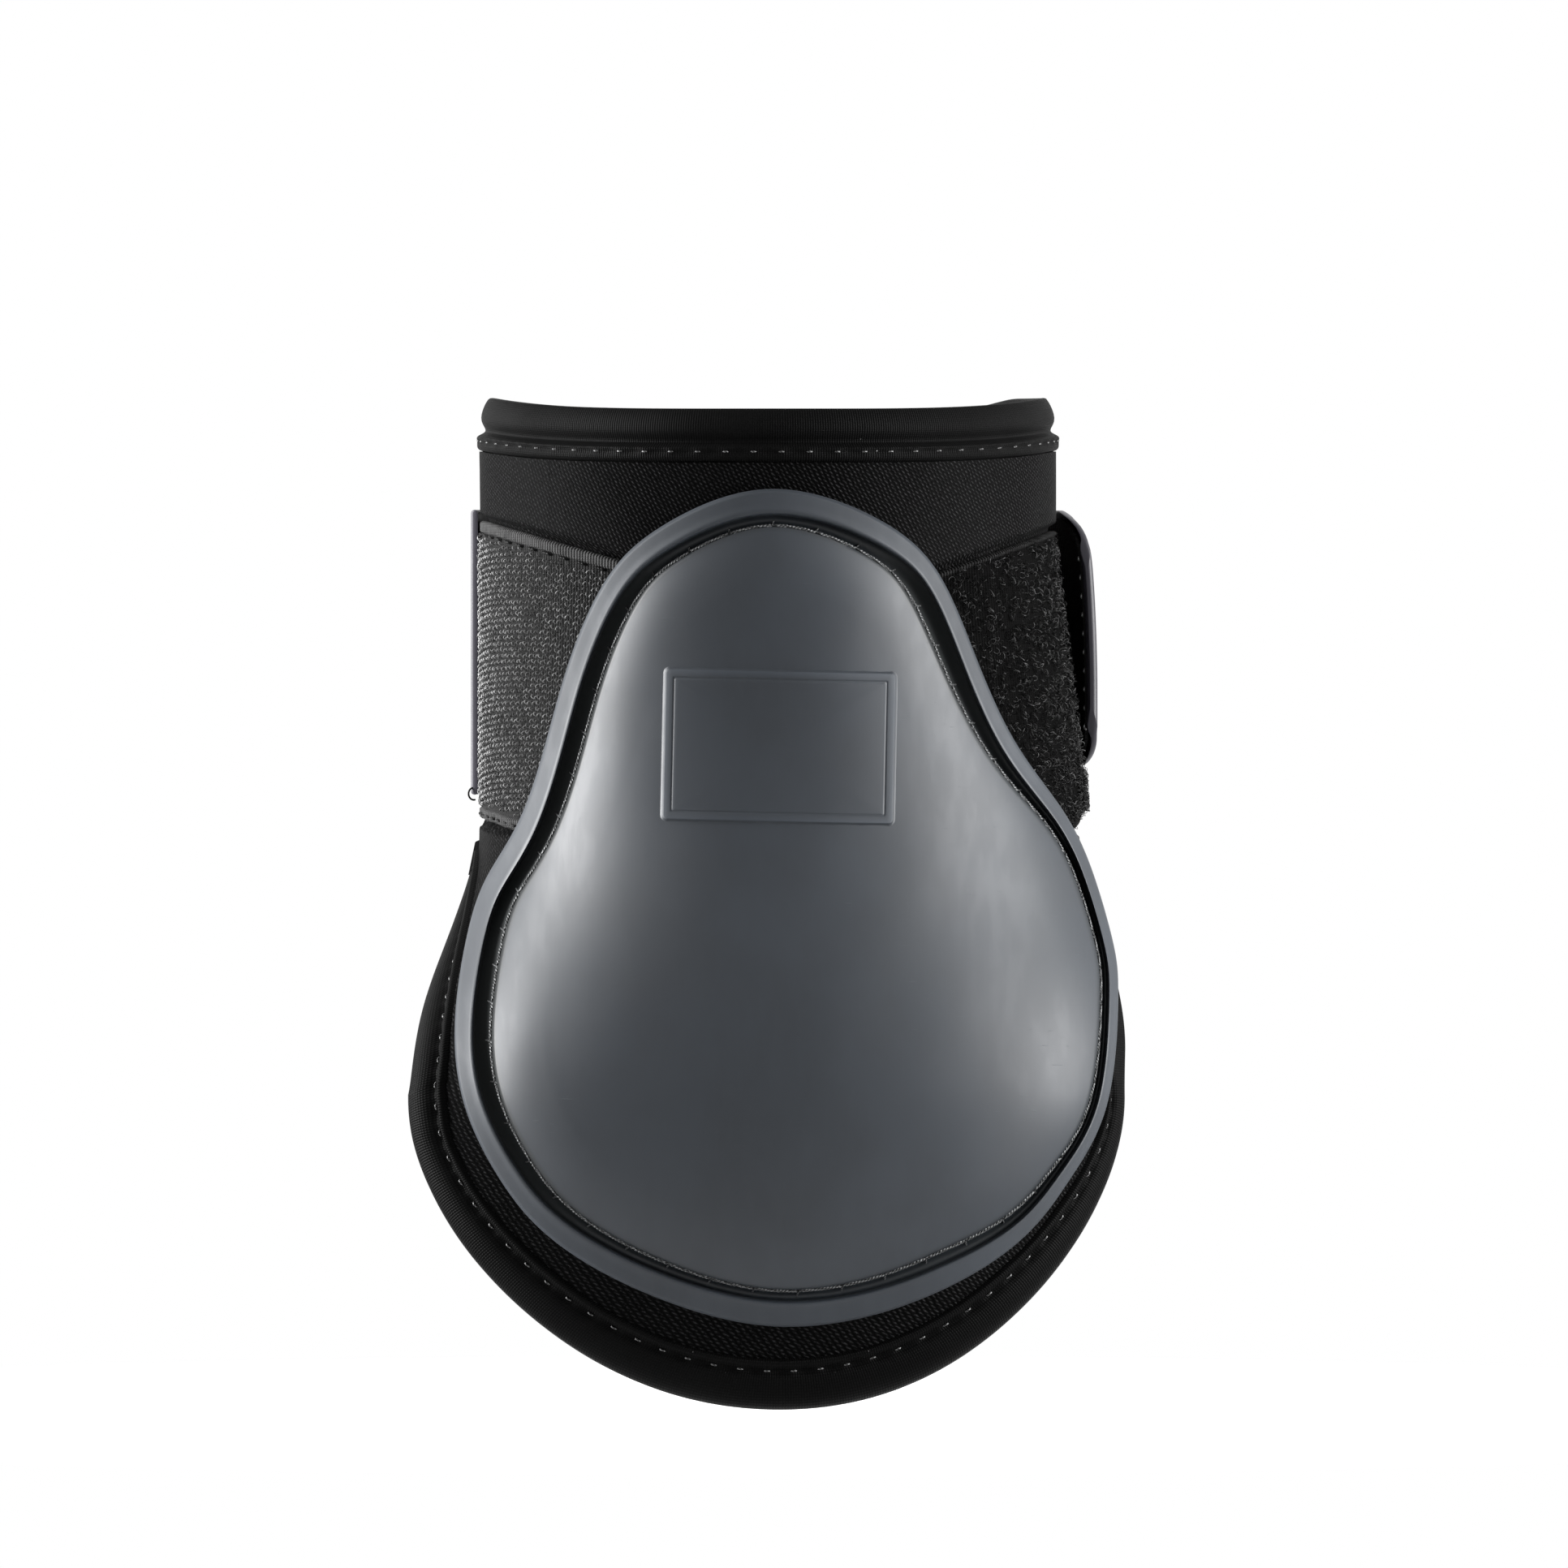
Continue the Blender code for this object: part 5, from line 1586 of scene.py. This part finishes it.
def make_floor():
    """A plain white floor that keeps the shadow near the object and is white further off."""
    turn = np.linspace(0, 2 * math.pi, 65)[:-1]
    rings = np.array(FLOOR_RING_SHARES)[:, None] * FLOOR_REACH
    x, y = rings * np.cos(turn), rings * np.sin(turn)
    points = np.stack((x, y, np.full_like(x, -FLOOR_DROP)), axis=-1)
    look = bpy.data.materials.new("floor_white")
    look.use_nodes = True
    tree = look.node_tree
    tree.nodes.remove(tree.nodes["Principled BSDF"])
    diffuse = node(tree, "ShaderNodeBsdfDiffuse", {"Color": FLOOR_COLOR})
    glow = node(tree, "ShaderNodeEmission", {"Color": FLOOR_COLOR})
    place = node(tree, "ShaderNodeNewGeometry")
    away = node(tree, "ShaderNodeVectorMath", {0: place}, output=1, operation="LENGTH")
    both = node(tree, "ShaderNodeAddShader", {0: diffuse, 1: glow})
    plain = node(tree, "ShaderNodeEmission", {"Color": WHITE})
    near_share = span(tree, away, FLOOR_FADE_START, FLOOR_FADE_END)
    seen = node(tree, "ShaderNodeMixShader", {0: near_share, 1: both, 2: plain})
    shader = node(tree, "ShaderNodeMixShader", {0: seen_straight(tree), 1: diffuse, 2: seen})
    tree.links.new(shader, tree.nodes["Material Output"].inputs["Surface"])
    faces = grid_faces(*x.shape, round_columns=True)
    floor = add_mesh("floor", points, (faces, np.arange(len(turn))[None, ::-1]), look)


def make_room():
    """White floor and world, two upright softboxes at the sides and a wide one overhead."""
    make_world()
    make_floor()
    for name, place, size, power in LAMPS:
        add_light(name, place, size, power)


def make_camera():
    camera = bpy.data.cameras.new("photo_view")
    camera.sensor_width = SENSOR
    camera.lens = SENSOR * VIEW_DISTANCE / VIEW_WIDTH
    camera.clip_end = VIEW_CLIP
    made = bpy.data.objects.new("photo_view", camera)
    target = Vector((VIEW_CENTRE[0], 0.0, VIEW_CENTRE[1]))
    made.location = target + VIEW_DISTANCE * Vector((0.0, -math.cos(VIEW_RISE), math.sin(VIEW_RISE)))
    made.rotation_euler = (target - made.location).to_track_quat("-Z", "Y").to_euler()
    bpy.context.scene.collection.objects.link(made)
    bpy.context.scene.camera = made


def main():
    bpy.context.scene.view_settings.view_transform = "Standard"
    looks = {
        "shell": moulded_look("shell_satin", 38, COOL, 0.49, 0.34),
        "plate": moulded_look("plate_satin", 37, COOL, 0.49, 0.34),
        "tab": moulded_look("tab_gloss", 34, VIOLET, 0.38, 0.25),
        # The anchor is the tab's glossy plastic made paler, partly its own colour and partly painted
        # reflection
        "anchor": moulded_look("anchor_gloss", 52, VIOLET, 0.42, 0.22),
        "knit": knit_look(),
        "jersey": jersey_look("edge_jersey", 7),
        "lining": jersey_look("lining_knit", 22),
        "hook_ground": tape_look("hook_weave", 26, 0.06),
        "loop_ground": tape_look("loop_weave", 3, 0.02),
        "hook": fibre_look("hook_nylon", 30, 175, 1.0, 0.42, 0.40),
        "loop": fibre_look("loop_nylon", 3, 100, 4.0, 0.4, 0.05),
        "pale_thread": thread_look("pale_thread", 80, NEUTRAL, 0.3),
        "white_thread": thread_look("white_thread", 220, NEUTRAL, 0.3),
        "dark_thread": thread_look("dark_thread", 6, NEUTRAL, 0.06),
        "heavy_thread": thread_look("heavy_thread", 80, (0.97, 1.0, 1.02), 0.3),
        "webbing": webbing_look(),
        "foam": foam_look(),
    }
    make_shell(looks)
    make_plate(looks)
    make_groove_thread(looks)
    make_foam(looks)
    for side in (-1, 1):
        make_body_half(side, looks)
        make_collar_half(side, looks)
        make_binding_half(side, looks)
        make_collar_stitches(side, looks)
        make_binding_stitches(side, looks)
    make_tape(-1, "hook", looks["hook_ground"])
    make_tape(1, "loop", looks["loop_ground"])
    make_tape_stitches(-1, "hook_tape_thread", looks["dark_thread"])
    make_hooks(looks["hook"])
    make_loops(looks["loop"])
    make_anchor(looks)
    make_elastic(looks)
    make_tab(looks)
    make_tab_stitches(looks["white_thread"])
    make_tab_seam(looks["pale_thread"])
    make_anchor_seam(looks["pale_thread"])
    make_stray_thread(looks["dark_thread"])
    make_room()
    make_camera()


main()
